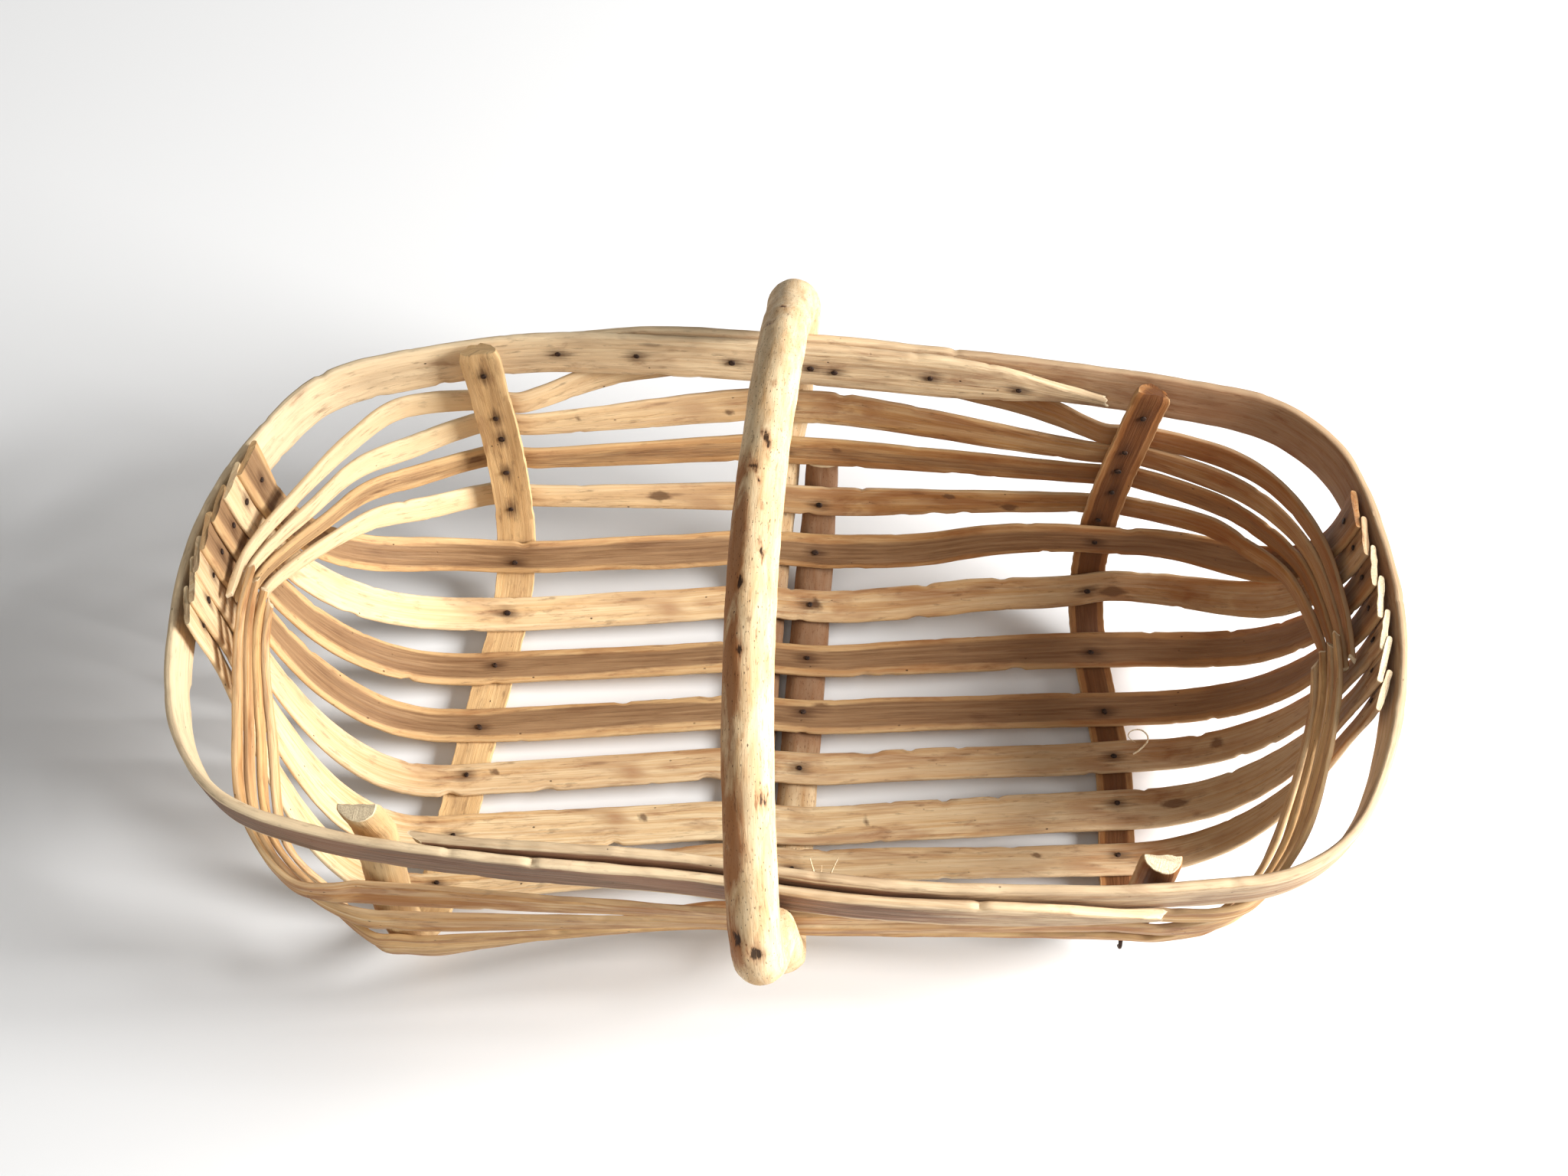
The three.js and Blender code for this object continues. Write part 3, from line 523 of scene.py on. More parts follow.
def wood_marks(name, line, seed, bark_up, bark_down, bark_edges):
    """Bark, edges, nail stains, knots, age, painted shade at the right end, painted light at the
    left end and a tone for one piece.
    """
    aged, tan_and_painted_shade, bleached = AGE_AND_PAINTED_LIGHT.get(name, (0.0, 0.0, 0.0))

    def marks(place, share, side):
        inner = np.clip(share[:, 1] * FACE_BORDER, 0, 1)
        outer = np.clip(-share[:, 1] * FACE_BORDER, 0, 1)
        skew = np.sign(share[:, 0]) * wander(place, seed + SKEW_SEED, BARK_SKEW_LENGTH)
        limit = BARK_WANDER * (wander(place, seed + BARK_SEED, BARK_WANDER_LENGTH) + skew)
        limit = bark_edges + limit - np.abs(share[:, 0])
        middle = np.clip(limit * BARK_BORDER + 0.5, 0, 1)
        stain = np.zeros(len(place))
        for nail in nail_spots:
            if nail["on"] == name:
                far = np.hypot((place - nail["place"]) / STAIN_LENGTH,
                               (side - nail["side"]) / STAIN_WIDTH)
                stain = np.maximum(stain, np.exp(-far**2) * inner)
        end = line["length"][-1]
        x, y, _ = centre_at(line, np.clip(place, 0, end)).T
        # painted light: the left end is painted paler where the daylight reaches it
        to_left = np.clip(PAINTED_LIGHT_MIDDLE - x / PAINTED_LIGHT_LENGTH, 0, 1)
        # painted shade, with some of the wood's own brown, grows towards the right end
        to_right = np.clip(x / SHADE_AND_TAN_LENGTH, 0, 1)
        if name in RIMS:
            # the rim's back, inside the right end, gets more painted shade than its front
            to_right = to_right * np.clip(RIM_END_SHADE_AND_TAN + y / RIM_SHADE_AND_TAN_BLEND, RIM_FRONT_SHADE_AND_TAN, 1)
            outer = outer * (1 - RIM_WORN_SHARE * np.clip(x / RIM_WORN_LENGTH, 0, 1))
        half = np.abs(side).max()
        knot = np.zeros(len(place))
        for knot_share, knot_side, size in KNOTS_IN_LATHS.get(name, []):
            far = (np.abs(place - knot_share * end) / size
                   + np.abs(side - knot_side * half) / (KNOT_NARROWNESS * size))
            knot = np.maximum(knot, np.clip(KNOT_REACH - far, 0, 1) * inner)
        return {"bark": (inner * bark_up + outer * bark_down) * middle,
                "edge": np.abs(share[:, 0]) ** EDGE_POWER,
                "stain": stain,
                "knot": knot,
                # age all over, plus the right end's brown and painted shade
                "aged": aged + tan_and_painted_shade * to_right,
                # painted light at the left end
                "bleached": bleached * to_left,
                "tone": np.full(len(place), 0.5 + 0.5 * math.sin(seed * TONE_STEP))}

    return marks


# %% [markdown]
# ## The laths
# Fifteen laths, four along each wall and seven over the floor. Laths with bark
# on the side that looks into the basket are the third of the back wall and the
# first, third and fourth of the floor; the others turn their bark outwards.
# The side laths end in torn points, and the floor laths end broad, cut off
# just inside the rim, where they overlap like shingles.

# %% Making the laths
BARK_UP = {"back_slat_3": 0.5, "floor_slat_1": 0.95, "floor_slat_3": 0.95, "floor_slat_4": 1.0,
           "front_slat_3": 0.2, "floor_slat_2": 0.1}
BARK_DOWN = {"front_slat_1": 0.1, "front_slat_2": 0.3, "front_slat_3": 0.15,
             "front_slat_4": 0.2}
USUAL_BARK_DOWN, LATH_BARK_EDGES = 0.7, 0.62
# from this much bark on its inner face, a lath has none on its outer one
ONE_FACE_BARK = 0.3
FLOOR_TEARS = (0.0015, 0.0015)
# how far the left and the right end of a side lath are torn back, and its pointed tip
SIDE_TEARS = {"back_slat_1": (0.004, 0.009), "back_slat_2": (0.012, 0.003),
              "back_slat_3": (0.003, 0.012), "back_slat_4": (0.008, 0.006),
              "front_slat_1": (0.003, 0.005), "front_slat_2": (0.013, 0.012),
              "front_slat_3": (0.006, 0.003), "front_slat_4": (0.011, 0.009)}
SIDE_TIP = (0.045, 0.42, 0.12)
# over which length an end broadens, its share of broadening, its tilt, and how
# far the left and the right end rise along the rim
BROAD_ENDS = (0.05, 0.17, 0.12, 0.009, 0.002)
LEFT_CUT = 0.3
RIGHT_CUTS = (0.3, 0.5, 0.7, 1.0, 1.0, 0.9, 0.7)
for slat, right_cut in zip(FLOOR_SLATS, RIGHT_CUTS):
    starts_left = lines[slat]["centre"][0][0] < 0
    lines[slat]["cut"] = (LEFT_CUT, right_cut) if starts_left else (right_cut, LEFT_CUT)
pieces = {}
for seed, name in enumerate(BACK_SLATS + FRONT_SLATS + FLOOR_SLATS, start=1):
    line = lines[name]
    up = BARK_UP.get(name, 0.0)
    down = 0.0 if up > ONE_FACE_BARK else BARK_DOWN.get(name, USUAL_BARK_DOWN)
    if name in FLOOR_SLATS:
        shape = split_shape(line, seed, FLOOR_TEARS, broad=BROAD_ENDS)
    else:
        tears = SIDE_TEARS[name] if line["centre"][0][0] < 0 else SIDE_TEARS[name][::-1]
        shape = split_shape(line, seed, tears, SIDE_TIP)
    pieces[name] = roll(name, line, ROW_LENGTH, LATH_SECTION, shape,
                        wood_marks(name, line, seed, up, down, LATH_BARK_EDGES))
lath_faces = sum(len(piece.data.polygons) for piece in pieces.values())
print("laths:", len(pieces), "with", lath_faces, "faces")

# %% [markdown]
# ## The rim
# Two U-shaped strips of a thicker split, steamed and bent, one lapped inside
# the other along both long sides. Their upper edge is worn round and light;
# the outer face still carries a mauve-grey bark. Small nicks run across the
# upper edge, and the tips at the laps are broken off at a slant.

# %% Making the rim strips
FIRST_RIM_SEED = 31
RIM_TEARS = {"rim_left": (0.012, 0.008), "rim_right": (0.01, 0.012)}
# over which length a tip narrows, to what share, and how far it leans to one edge
RIM_TIP = (0.07, 0.32, -0.2)
# bark on the inner and the outer face, and how far over each it reaches
RIM_BARK = (0.25, 1.0, 0.85)
for seed, name in enumerate(RIMS, start=FIRST_RIM_SEED):
    line = lines[name]
    pieces[name] = roll(name, line, ROW_LENGTH, LATH_SECTION,
                        split_shape(line, seed, RIM_TEARS[name], RIM_TIP),
                        wood_marks(name, line, seed, *RIM_BARK))
print("rim strips:", [len(pieces[name].data.polygons) for name in RIMS])

# %% [markdown]
# ## The ribs
# Each rib is a stick split down the middle and bent into a U: a flat, split
# face inside, where the nails show, and the round back of the stick outside.
# Its four ends stand a little above the rim and show the end of the grain.
# The back of the stick has small swellings where twigs grew.

# %% Making the ribs
RIB_POINTS_BACK, RIB_POINTS_FLAT = 18, 9
RIB_SHOULDER, RIB_ROUNDNESS, RIB_FLAT_HALF = 0.9, 0.85, 0.97
RIB_SWELL, RIB_SWELL_LENGTH, RIB_SWELL_WIDTH = 0.0016, 0.03, 0.02
RIB_SWELL_LEVEL, RIB_BACK_LEVEL = 0.35, 0.6
RIB_NARROWING, RIB_NARROWING_LENGTH = 0.025, 0.05
RIB_CHIP, RIB_CHIP_LENGTH = 0.0006, 0.008
RIB_FACE_HOLLOW, RIB_HOLLOW_LEVEL, RIB_FIBRE = 0.0005, 0.7, (0.03, 0.003)
RIB_END_ROUND, RIB_END_NARROWER, RIB_END_THINNER = 0.006, 0.14, 0.16
RIB_CUT_DEPTH, RIB_CUT_SIZE = 0.0012, 0.004
NARROWING_SEED, FIBRE_SEED, CUT_SEED, CHIP_SEED = 3, 5, 6, 8


def half_round():
    """A half-round section: a flat face towards the inside, a round back."""
    back = []
    for k in range(RIB_POINTS_BACK + 1):
        turn = math.pi * k / RIB_POINTS_BACK
        depth = RIB_SHOULDER - (1 + RIB_SHOULDER) * math.sin(turn) ** RIB_ROUNDNESS
        back.append((-math.cos(turn), depth))
    flat = [(RIB_FLAT_HALF * (1 - 2 * k / (RIB_POINTS_FLAT - 1)), 1.0)
            for k in range(RIB_POINTS_FLAT)]
    return back + flat


def rib_shape(line, seed):
    """Swellings on the round back and a slightly torn flat face."""

    def shape(place, share, side, depth):
        swell = wander_2d(place, side, seed, RIB_SWELL_LENGTH, RIB_SWELL_WIDTH)
        round_back = np.clip(RIB_BACK_LEVEL - share[:, 1], 0, 1)
        depth = depth + round_back * RIB_SWELL * np.clip(RIB_SWELL_LEVEL - swell, 0, None)
        narrowing = 1 + wander(place, seed + NARROWING_SEED, RIB_NARROWING_LENGTH)
        side = side * (1 - RIB_NARROWING * narrowing)
        chip = np.abs(wander(place, seed + CHIP_SEED, RIB_CHIP_LENGTH))
        side = side - np.sign(side) * RIB_CHIP * chip * np.abs(share[:, 0])
        fibre = RIB_HOLLOW_LEVEL + wander_2d(place, side, seed + FIBRE_SEED, *RIB_FIBRE)
        depth = depth - np.clip(share[:, 1], 0, 1) * RIB_FACE_HOLLOW * fibre
        cut = wander_2d(side, depth, seed + CUT_SEED, RIB_CUT_SIZE, RIB_CUT_SIZE)
        for from_end, towards in ((place, 1), (line["length"][-1] - place, -1)):
            fade = np.clip(1 - from_end / RIB_END_ROUND, 0, 1) ** 2
            side = side * (1 - RIB_END_NARROWER * fade)
            depth = depth * (1 - RIB_END_THINNER * fade)
            place = place + towards * fade * RIB_CUT_DEPTH * (1 + cut)
        return place, side, depth

    return shape


FIRST_RIB_SEED = 41
# bark on the flat face and on the back, and how far over each it reaches
RIB_BARK = {"rib_left": (0.0, 0.25, 0.8), "rib_right": (1.0, 0.9, 0.62)}
# how fresh the cut looks at a rib's front end and at its back end
RIB_CUTS = (1.0, 0.35)
for seed, name in enumerate(RIBS, start=FIRST_RIB_SEED):
    line = lines[name]
    line["cut"] = RIB_CUTS if line["centre"][0][1] < 0 else RIB_CUTS[::-1]
    pieces[name] = roll(name, line, ROW_LENGTH, half_round(), rib_shape(line, seed),
                        wood_marks(name, line, seed, *RIB_BARK[name]))
print("ribs:", [len(pieces[name].data.polygons) for name in RIBS])

# %% [markdown]
# ## The pole
# The handle is one long peeled pole, bent over the basket and down under its
# floor, where both ends are flattened and lap each other. Peeling leaves the
# knots standing as low bumps with a sunken, dark heart, and the pole is never
# quite round. Knots are given by their share along the pole and by the angle
# around it, so they sit where the real ones are.

# %% Making the pole
POLE_AROUND = 36
POLE_ROW_LENGTH = 0.0032
# height, seed, length along and angle around of the slow and the quick unevenness
POLE_UNEVEN = ((0.00045, 51, 0.05, 0.9), (0.00022, 57, 0.012, 0.35))
POLE_LOSS, LEAST_RADIUS = 0.00027, 0.004
KNOT_STRETCH, HEART_DEPTH, HEART_SIZE = 1.4, 1.25, 0.38
KNOTS = [
    # share along the pole, degrees around it, size and height in metres
    (0.546, 80, 0.006, 0.0012), (0.550, 92, 0.005, 0.0010), (0.536, 106, 0.006, 0.0012),
    (0.506, 70, 0.005, 0.0008), (0.496, 114, 0.006, 0.0010), (0.476, 108, 0.006, 0.0008),
    (0.434, 55, 0.007, 0.0010), (0.394, 125, 0.008, 0.0014), (0.390, 85, 0.009, 0.0020),
    (0.530, 90, 0.003, 0.0004), (0.521, 76, 0.003, 0.0004), (0.576, 88, 0.004, 0.0005),
    (0.624, 124, 0.006, 0.0010), (0.646, 96, 0.005, 0.0008), (0.257, 205, 0.007, 0.0014),
    (0.207, 250, 0.006, 0.0010), (0.232, 150, 0.006, 0.0010), (0.287, 120, 0.006, 0.0010),
    (0.312, 230, 0.007, 0.0014), (0.355, 250, 0.007, 0.0014), (0.743, 185, 0.008, 0.0014),
    (0.795, 100, 0.006, 0.0010), (0.86, 60, 0.006, 0.0010), (0.15, 110, 0.006, 0.0010),
]


def pole_section():
    """Points once around the pole."""
    turns = [2 * math.pi * k / POLE_AROUND for k in range(POLE_AROUND)]
    return [(math.cos(t), -math.sin(t)) for t in turns]


def turn_of(share):
    """The angle around the pole."""
    return np.arctan2(-share[:, 1], share[:, 0])


def turn_from(share, angle):
    """The angle around the pole from the given one in degrees, within half a turn."""
    return (turn_of(share) - math.radians(angle) + math.pi) % (2 * math.pi) - math.pi


def pole_shape(line):
    """Wandering thickness and knots with a sunken heart."""
    end = line["length"][-1]

    def shape(place, share, side, depth):
        radius = np.hypot(side, depth)
        turn = turn_of(share)
        lift = -POLE_LOSS
        for height, *numbers in POLE_UNEVEN:
            lift = lift + height * wander_2d(place, turn, *numbers)
        for knot_share, angle, size, height in KNOTS:
            far = np.hypot((place - knot_share * end) / (KNOT_STRETCH * size),
                           turn_from(share, angle) * radius / size)
            heart = np.exp(-(far / HEART_SIZE) ** 2)
            lift = lift + height * (np.exp(-far**2) - HEART_DEPTH * heart)
        grow = 1 + lift / np.maximum(radius, LEAST_RADIUS)
        return place, side * grow, depth * grow

    return shape


# inner bark, with painted shade added, is left on the side that looks left, away from the light,
# between these shares of the pole
LEFT_FROM, LEFT_BORDER = -0.05, 0.55
LEFT_START, LEFT_STOP, LEFT_FADE = 0.37, 0.553, 0.02
# hands wear the arch, and the feet under the floor are painted dark as painted shade: shares from
# the pole's middle
WORN_REACH, UNDER_START, UNDER_FADE = 0.2, 0.335, 0.04
SCAR_RADIUS, SCAR_NARROWNESS = 0.014, 0.6


def pole_marks(line):
    """Scars at the knots, wear on the arch, inner bark with painted shade on the left, and painted
    shade on the feet.
    """
    end = line["length"][-1]

    def marks(place, share, side):
        scar = np.zeros(len(place))
        for knot_share, angle, size, height in KNOTS:
            far = np.hypot((place - knot_share * end) / size,
                           turn_from(share, angle) * SCAR_RADIUS / (SCAR_NARROWNESS * size))
            scar = np.maximum(scar, np.exp(-far**2))
        along = place / end
        from_middle = np.abs(along - 0.5)
        to_left = np.clip((-np.cos(turn_of(share)) - LEFT_FROM) / LEFT_BORDER, 0, 1)
        stretch = np.minimum(along - LEFT_START, LEFT_STOP - along) / LEFT_FADE
        return {"scar": scar,
                "worn": np.clip(1 - from_middle / WORN_REACH, 0, 1),
                # inner bark and painted shade on the side that looks left, away from the light
                "left": to_left * np.clip(stretch, 0, 1),
                # painted shade on the feet under the floor
                "under": np.clip((from_middle - UNDER_START) / UNDER_FADE, 0, 1)}

    return marks


line = lines["handle"]
pieces["handle"] = roll("handle", line, POLE_ROW_LENGTH, pole_section(),
                        pole_shape(line), pole_marks(line))
print("pole:", len(pieces["handle"].data.polygons), "faces")

# %% [markdown]
# ## The nails
# Small cut iron nails, their heads hammered flat and darkened to brown-black.
# One head is made as a short cylinder, its rim bevelled; every other nail is a
# copy with its own mesh, turned onto its face and a little crooked, and the
# heads of one kind of crossing are joined into one piece.

# %% Making the nails
HEAD_RADIUS, HEAD_HEIGHT, HEAD_SINK, HEAD_SIDES = 0.0019, 0.0012, 0.0004, 14
BEVEL_SHARE, BEVEL_STEPS = 0.35, 2
# how crooked a head sits, and where in the random field the values for it lie
HEAD_LEAN, LEAN_PLACE = 0.35, (1.9, 3.3, 7.7)
# the least share, what is added to it at most, and a place in the random field
HEAD_SIZES, HEAD_ROUNDNESS = (0.85, 0.5, (2.7, 1.1, 4.4)), (0.72, 0.4, (1.3, 5.1, 2.4))


def nail_head():
    """One hammered nail head, standing at the origin."""
    bpy.ops.object.select_all(action="DESELECT")
    bpy.ops.mesh.primitive_cylinder_add(vertices=HEAD_SIDES, radius=HEAD_RADIUS, depth=HEAD_HEIGHT)
    head = bpy.context.active_object
    bpy.ops.object.modifier_add(type="BEVEL")
    bevel = head.modifiers[-1]
    bevel.width = HEAD_HEIGHT * BEVEL_SHARE
    bevel.segments = BEVEL_STEPS
    bevel.limit_method = "ANGLE"
    bpy.ops.object.modifier_apply(modifier=bevel.name)
    bpy.ops.object.shade_smooth_by_angle(angle=SMOOTH_ANGLE)
    return head


def varied(number, least, more, place):
    """A share that differs from nail to nail."""
    return least + more * abs(one_random(number * place[0], *place[1:]))


def place_heads(name, spots):
    """Copies the first head onto all spots and joins the copies to one piece."""
    first = nail_head()
    heads = []
    for number, nail in enumerate(spots):
        head = first.copy()
        head.data = first.data.copy()
        bpy.context.collection.objects.link(head)
        normal = Vector(nail["normal"])
        step, turn, layer = LEAN_PLACE
        lean = [HEAD_LEAN * one_random(number * step, k * turn, layer) for k in range(3)]
        head.rotation_mode = "QUATERNION"
        head.rotation_quaternion = (normal + Vector(lean)).normalized().to_track_quat("Z", "Y")
        head.location = Vector(nail["spot"]) + normal * (HEAD_HEIGHT / 2 - HEAD_SINK)
        size = varied(number, *HEAD_SIZES)
        head.scale = (size, size * varied(number, *HEAD_ROUNDNESS), 1)
        heads.append(head)
    only(heads[0])
    for head in heads:
        head.select_set(True)
    bpy.ops.object.join()
    joined = bpy.context.active_object
    bpy.ops.object.transform_apply(location=True, rotation=True, scale=True)
    joined.name = joined.data.name = name
    bpy.data.objects.remove(first)
    return joined


groups = {
    "nails_in_floor_laths": [n for n in nail_spots if n["on"] in FLOOR_SLATS],
    "nails_in_wall_laths": [n for n in nail_spots if n["on"] in BACK_SLATS + FRONT_SLATS],
    "nails_in_ribs": [n for n in nail_spots if n["on"] in RIBS],
    "nails_in_rim": [n for n in nail_spots if n["on"] in RIMS],
}
nails = {name: place_heads(name, spots) for name, spots in groups.items() if spots}
for name, joined in nails.items():
    print(name, len(groups[name]), "heads")

# %% [markdown]
# ## Loose fibres and a bent nail
# Splitting leaves a few fibres standing. One thin curl has come off a floor
# lath beside the right rib, and three short splinters stand on the front rim
# right of the pole. One nail came through the lowest front lath and was bent
# over. Each is a curve with a thickness that narrows towards its end.

# %% Making the loose fibres and the bent nail
STRAND_SINK, STRAND_ORDER, STRAND_ROUNDNESS = 0.0004, 3, 3
THIN_END = 0.25
CURL_RADIUS, CURL_THICKNESS, CURL_ASIDE, CURL_RISE = 0.0075, 0.0007, 0.012, 0.15
CURL_TURNS = ((0.0, 0.0), (0.9, 0.5), (1.5, 1.3), (0.9, 2.1), (-0.1, 1.9), (-0.4, 1.1), (0.2, 0.6))
SPLINTER_X, SPLINTER_STEP, SPLINTER_THICKNESS = 0.026, 0.003, 0.0008
SPLINTER_LENGTHS, SPLINTER_SHARES = (0.014, 0.01, 0.017), (0, 0.35, 0.7, 1)
SPLINTER_UP, SPLINTER_OUT, SPLINTER_LEAN = 0.8, 0.5, 0.25
BENT_NAIL_LENGTH, BENT_NAIL_THICKNESS, BENT_NAIL_END = 0.014, 0.0014, 0.6
# shares of its length outwards and downwards
BENT_NAIL_TURNS = ((0, 0), (0.25, 0.0), (0.45, 0.1), (0.5, 0.4), (0.52, 0.9))


def drawn(name, points, thickness, thin_end=THIN_END):
    """A thin round strand along the points, narrowing to its end."""
    bpy.ops.object.select_all(action="DESELECT")
    bpy.ops.curve.primitive_nurbs_path_add(location=(0, 0, 0))
    curve = bpy.context.active_object.data
    curve.splines.clear()
    spline = curve.splines.new("NURBS")
    spline.points.add(len(points) - 1)
    for k, (target, point) in enumerate(zip(spline.points, points)):
        target.co = (*point, 1)
        target.radius = 1 - (1 - thin_end) * k / (len(points) - 1)
    spline.use_endpoint_u = True
    spline.order_u = STRAND_ORDER
    curve.dimensions = "3D"
    curve.bevel_depth = thickness
    curve.bevel_resolution = STRAND_ROUNDNESS
    curve.use_fill_caps = True
    bpy.ops.object.convert(target="MESH")
    strand = bpy.context.active_object
    bpy.ops.object.mode_set(mode="EDIT")
    bpy.ops.mesh.select_all(action="SELECT")
    bpy.ops.mesh.remove_doubles(threshold=SEAM_CLOSE)
    bpy.ops.mesh.normals_make_consistent(inside=False)
    bpy.ops.object.mode_set(mode="OBJECT")
    bpy.ops.object.shade_smooth_by_angle(angle=SMOOTH_ANGLE)
    strand.name = strand.data.name = name
    return strand


def surface_at(name, place, face=1):
    """A point on a face of a piece, with the directions along, across and out of it."""
    line = lines[name]
    out = at(line, "through", place) * face
    across = at(line, "across", place)
    spot = centre_at(line, place) + out * (at(line, "half_thickness", place) - STRAND_SINK)
    return spot, np.cross(across, out), across, out


strands = {}
curl_place = crossing("floor_slat_5", "rib_right")[0]
towards_right = 1 if lines["floor_slat_5"]["centre"][-1][0] > 0 else -1
spot, along, across, out = surface_at("floor_slat_5", curl_place + towards_right * CURL_ASIDE)
curl = [spot + CURL_RADIUS * (along * a + across * b + out * (CURL_RISE * k))
        for k, (a, b) in enumerate(CURL_TURNS)]
strands["fibre_curl"] = drawn("fibre_curl", curl, CURL_THICKNESS)

for number, length in enumerate(SPLINTER_LENGTHS):
    place = place_at_x("rim_right", SPLINTER_X + SPLINTER_STEP * number, False)
    spot, along, across, out = surface_at("rim_right", place)
    up = across if across[2] > 0 else -across
    lean = (number - 1) * SPLINTER_LEAN
    splinter = [spot + length * s * (up * SPLINTER_UP + out * SPLINTER_OUT * s + along * lean * s)
                for s in SPLINTER_SHARES]
    name = f"splinter_{number + 1}"
    strands[name] = drawn(name, splinter, SPLINTER_THICKNESS)

nail_place = crossing("front_slat_4", "rib_right")[0]
spot, along, across, out = surface_at("front_slat_4", nail_place, face=-1)
down = across if across[2] < 0 else -across
bent = [spot + BENT_NAIL_LENGTH * (out * a + down * b) for a, b in BENT_NAIL_TURNS]
nails["bent_nail"] = drawn("bent_nail", bent, BENT_NAIL_THICKNESS, BENT_NAIL_END)
print("loose strands:", list(strands), "and one bent nail")

# %% [markdown]
# ## How a material is put together
# A material is painted in thin layers, as a maker would glaze wood: each layer
# has a tint and shows where a value is high enough. The value is a pattern laid
# along the fibres, a mark that travels with the piece, or both together, which
# breaks up the border of the mark. A table lists the layers from the lowest to
# the uppermost, so one small set of tools serves every material.

# %% Tools for materials
# most of a pattern lies between these values
PATTERN_RANGE = (0.3, 0.7)


def colour(r, g, b):
    """A colour as seen on screen, turned into linear light."""
    linear = [c / 12.92 if c <= 0.04045 else ((c + 0.055) / 1.055) ** 2.4 for c in (r, g, b)]
    return (*linear, 1.0)


class Shader:
    """A short way to add nodes to one material."""

    def __init__(self, name):
        self.material = bpy.data.materials.new(name)
        self.material.use_nodes = True
        self.nodes = self.material.node_tree.nodes
        self.links = self.material.node_tree.links
        self.surface = self.nodes["Principled BSDF"]

    def plug(self, socket, value):
        """Joins a socket to another one, or gives it a value."""
        if isinstance(value, bpy.types.NodeSocket):
            self.links.new(value, socket)
        else:
            socket.default_value = value

    def node(self, kind, **inputs):
        """A new node with the given inputs."""
        node = self.nodes.new("ShaderNode" + kind)
        for name, value in inputs.items():
            self.plug(node.inputs[name.replace("_", " ")], value)
        return node

    def mark(self, name):
        """A value that travels with the piece."""
        node = self.node("Attribute")
        node.attribute_name = name
        return node.outputs["Fac"]

    def stretched(self, scale, shift):
        """The wood's own map, stretched along the fibres."""
        grain = self.node("UVMap")
        grain.uv_map = GRAIN
        return self.node("Mapping", Vector=grain.outputs["UV"], Scale=(*scale, 1),
                         Location=shift).outputs["Vector"]

    def placed(self, scale):
        """The place in the object, scaled."""
        place = self.node("TexCoord").outputs["Object"]
        return self.node("Mapping", Vector=place, Scale=(scale,) * 3).outputs["Vector"]

    def noise(self, vector, detail, rough, distortion=0.0):
        """A cloudy pattern."""
        return self.node("TexNoise", Vector=vector, Scale=1.0, Detail=detail, Roughness=rough,
                         Distortion=distortion).outputs["Fac"]

    def patterns(self, table, shift=(0, 0, 0)):
        """All cloudy patterns of a table, laid along the fibres."""
        return {name: self.noise(self.stretched(scale, shift), *numbers)
                for name, (scale, *numbers) in table.items()}

    def scattered(self, shift, scale, border, chance):
        """Spots strewn over the wood: the levels of their border, and which of them show."""
        cells = self.node("TexVoronoi", Vector=self.stretched(scale, shift), Scale=1.0)
        return self.times(self.between(cells.outputs["Distance"], *border),
                          self.between(cells.outputs["Color"], *chance))

    def between(self, value, low, high, low_to=0.0, high_to=1.0):
        """Turns the range from low to high into another one, and stops at its ends."""
        return self.node("MapRange", Value=value, From_Min=low, From_Max=high,
                         To_Min=low_to, To_Max=high_to).outputs["Result"]

    def maths(self, kind, one, two):
        """A sum with two values."""
        node = self.node("Math")
        node.operation = kind
        self.plug(node.inputs[0], one)
        self.plug(node.inputs[1], two)
        return node.outputs[0]

    def plus(self, one, two):
        return self.maths("ADD", one, two)

    def times(self, one, two):
        return self.maths("MULTIPLY", one, two)

    def broken_up(self, mark, pattern, amount):
        """A mark whose border is broken up by a pattern."""
        return self.plus(mark, self.between(pattern, *PATTERN_RANGE, -amount, amount))

    def over(self, base, tint, value, low, high, most=1.0):
        """Lays a tint over a colour: none of it at low, the most at high."""
        node = self.node("Mix")
        node.data_type = "RGBA"
        sockets = {(s.name, s.type): s for s in node.inputs}
        self.plug(sockets["Factor", "VALUE"], self.between(value, low, high, 0.0, most))
        self.plug(sockets["A", "RGBA"], base)
        self.plug(sockets["B", "RGBA"], tint)
        return next(s for s in node.outputs if s.type == "RGBA")

    def layered(self, base, layers, values, tints):
        """Lays tints over a colour, one after the other, as a table says."""
        for value, tint, low, high, most in layers:
            base = self.over(base, tints[tint], values[value], low, high, most)
        return base

    def raised(self, values, weights, strength, distance):
        """Raises the surface a little by the sum of some values."""
        height = 0.0
        for name, weight in weights.items():
            height = self.plus(height, self.times(values[name], weight))
        bump = self.node("Bump", Strength=strength, Distance=distance, Height=height)
        self.plug(self.surface.inputs["Normal"], bump.outputs["Normal"])

    def finished(self, base, rough, specular=0.5):
        """The material, with its colour and its dullness."""
        self.plug(self.surface.inputs["Base Color"], base)
        self.plug(self.surface.inputs["Roughness"], rough)
        self.plug(self.surface.inputs["Specular IOR Level"], specular)
        return self.material
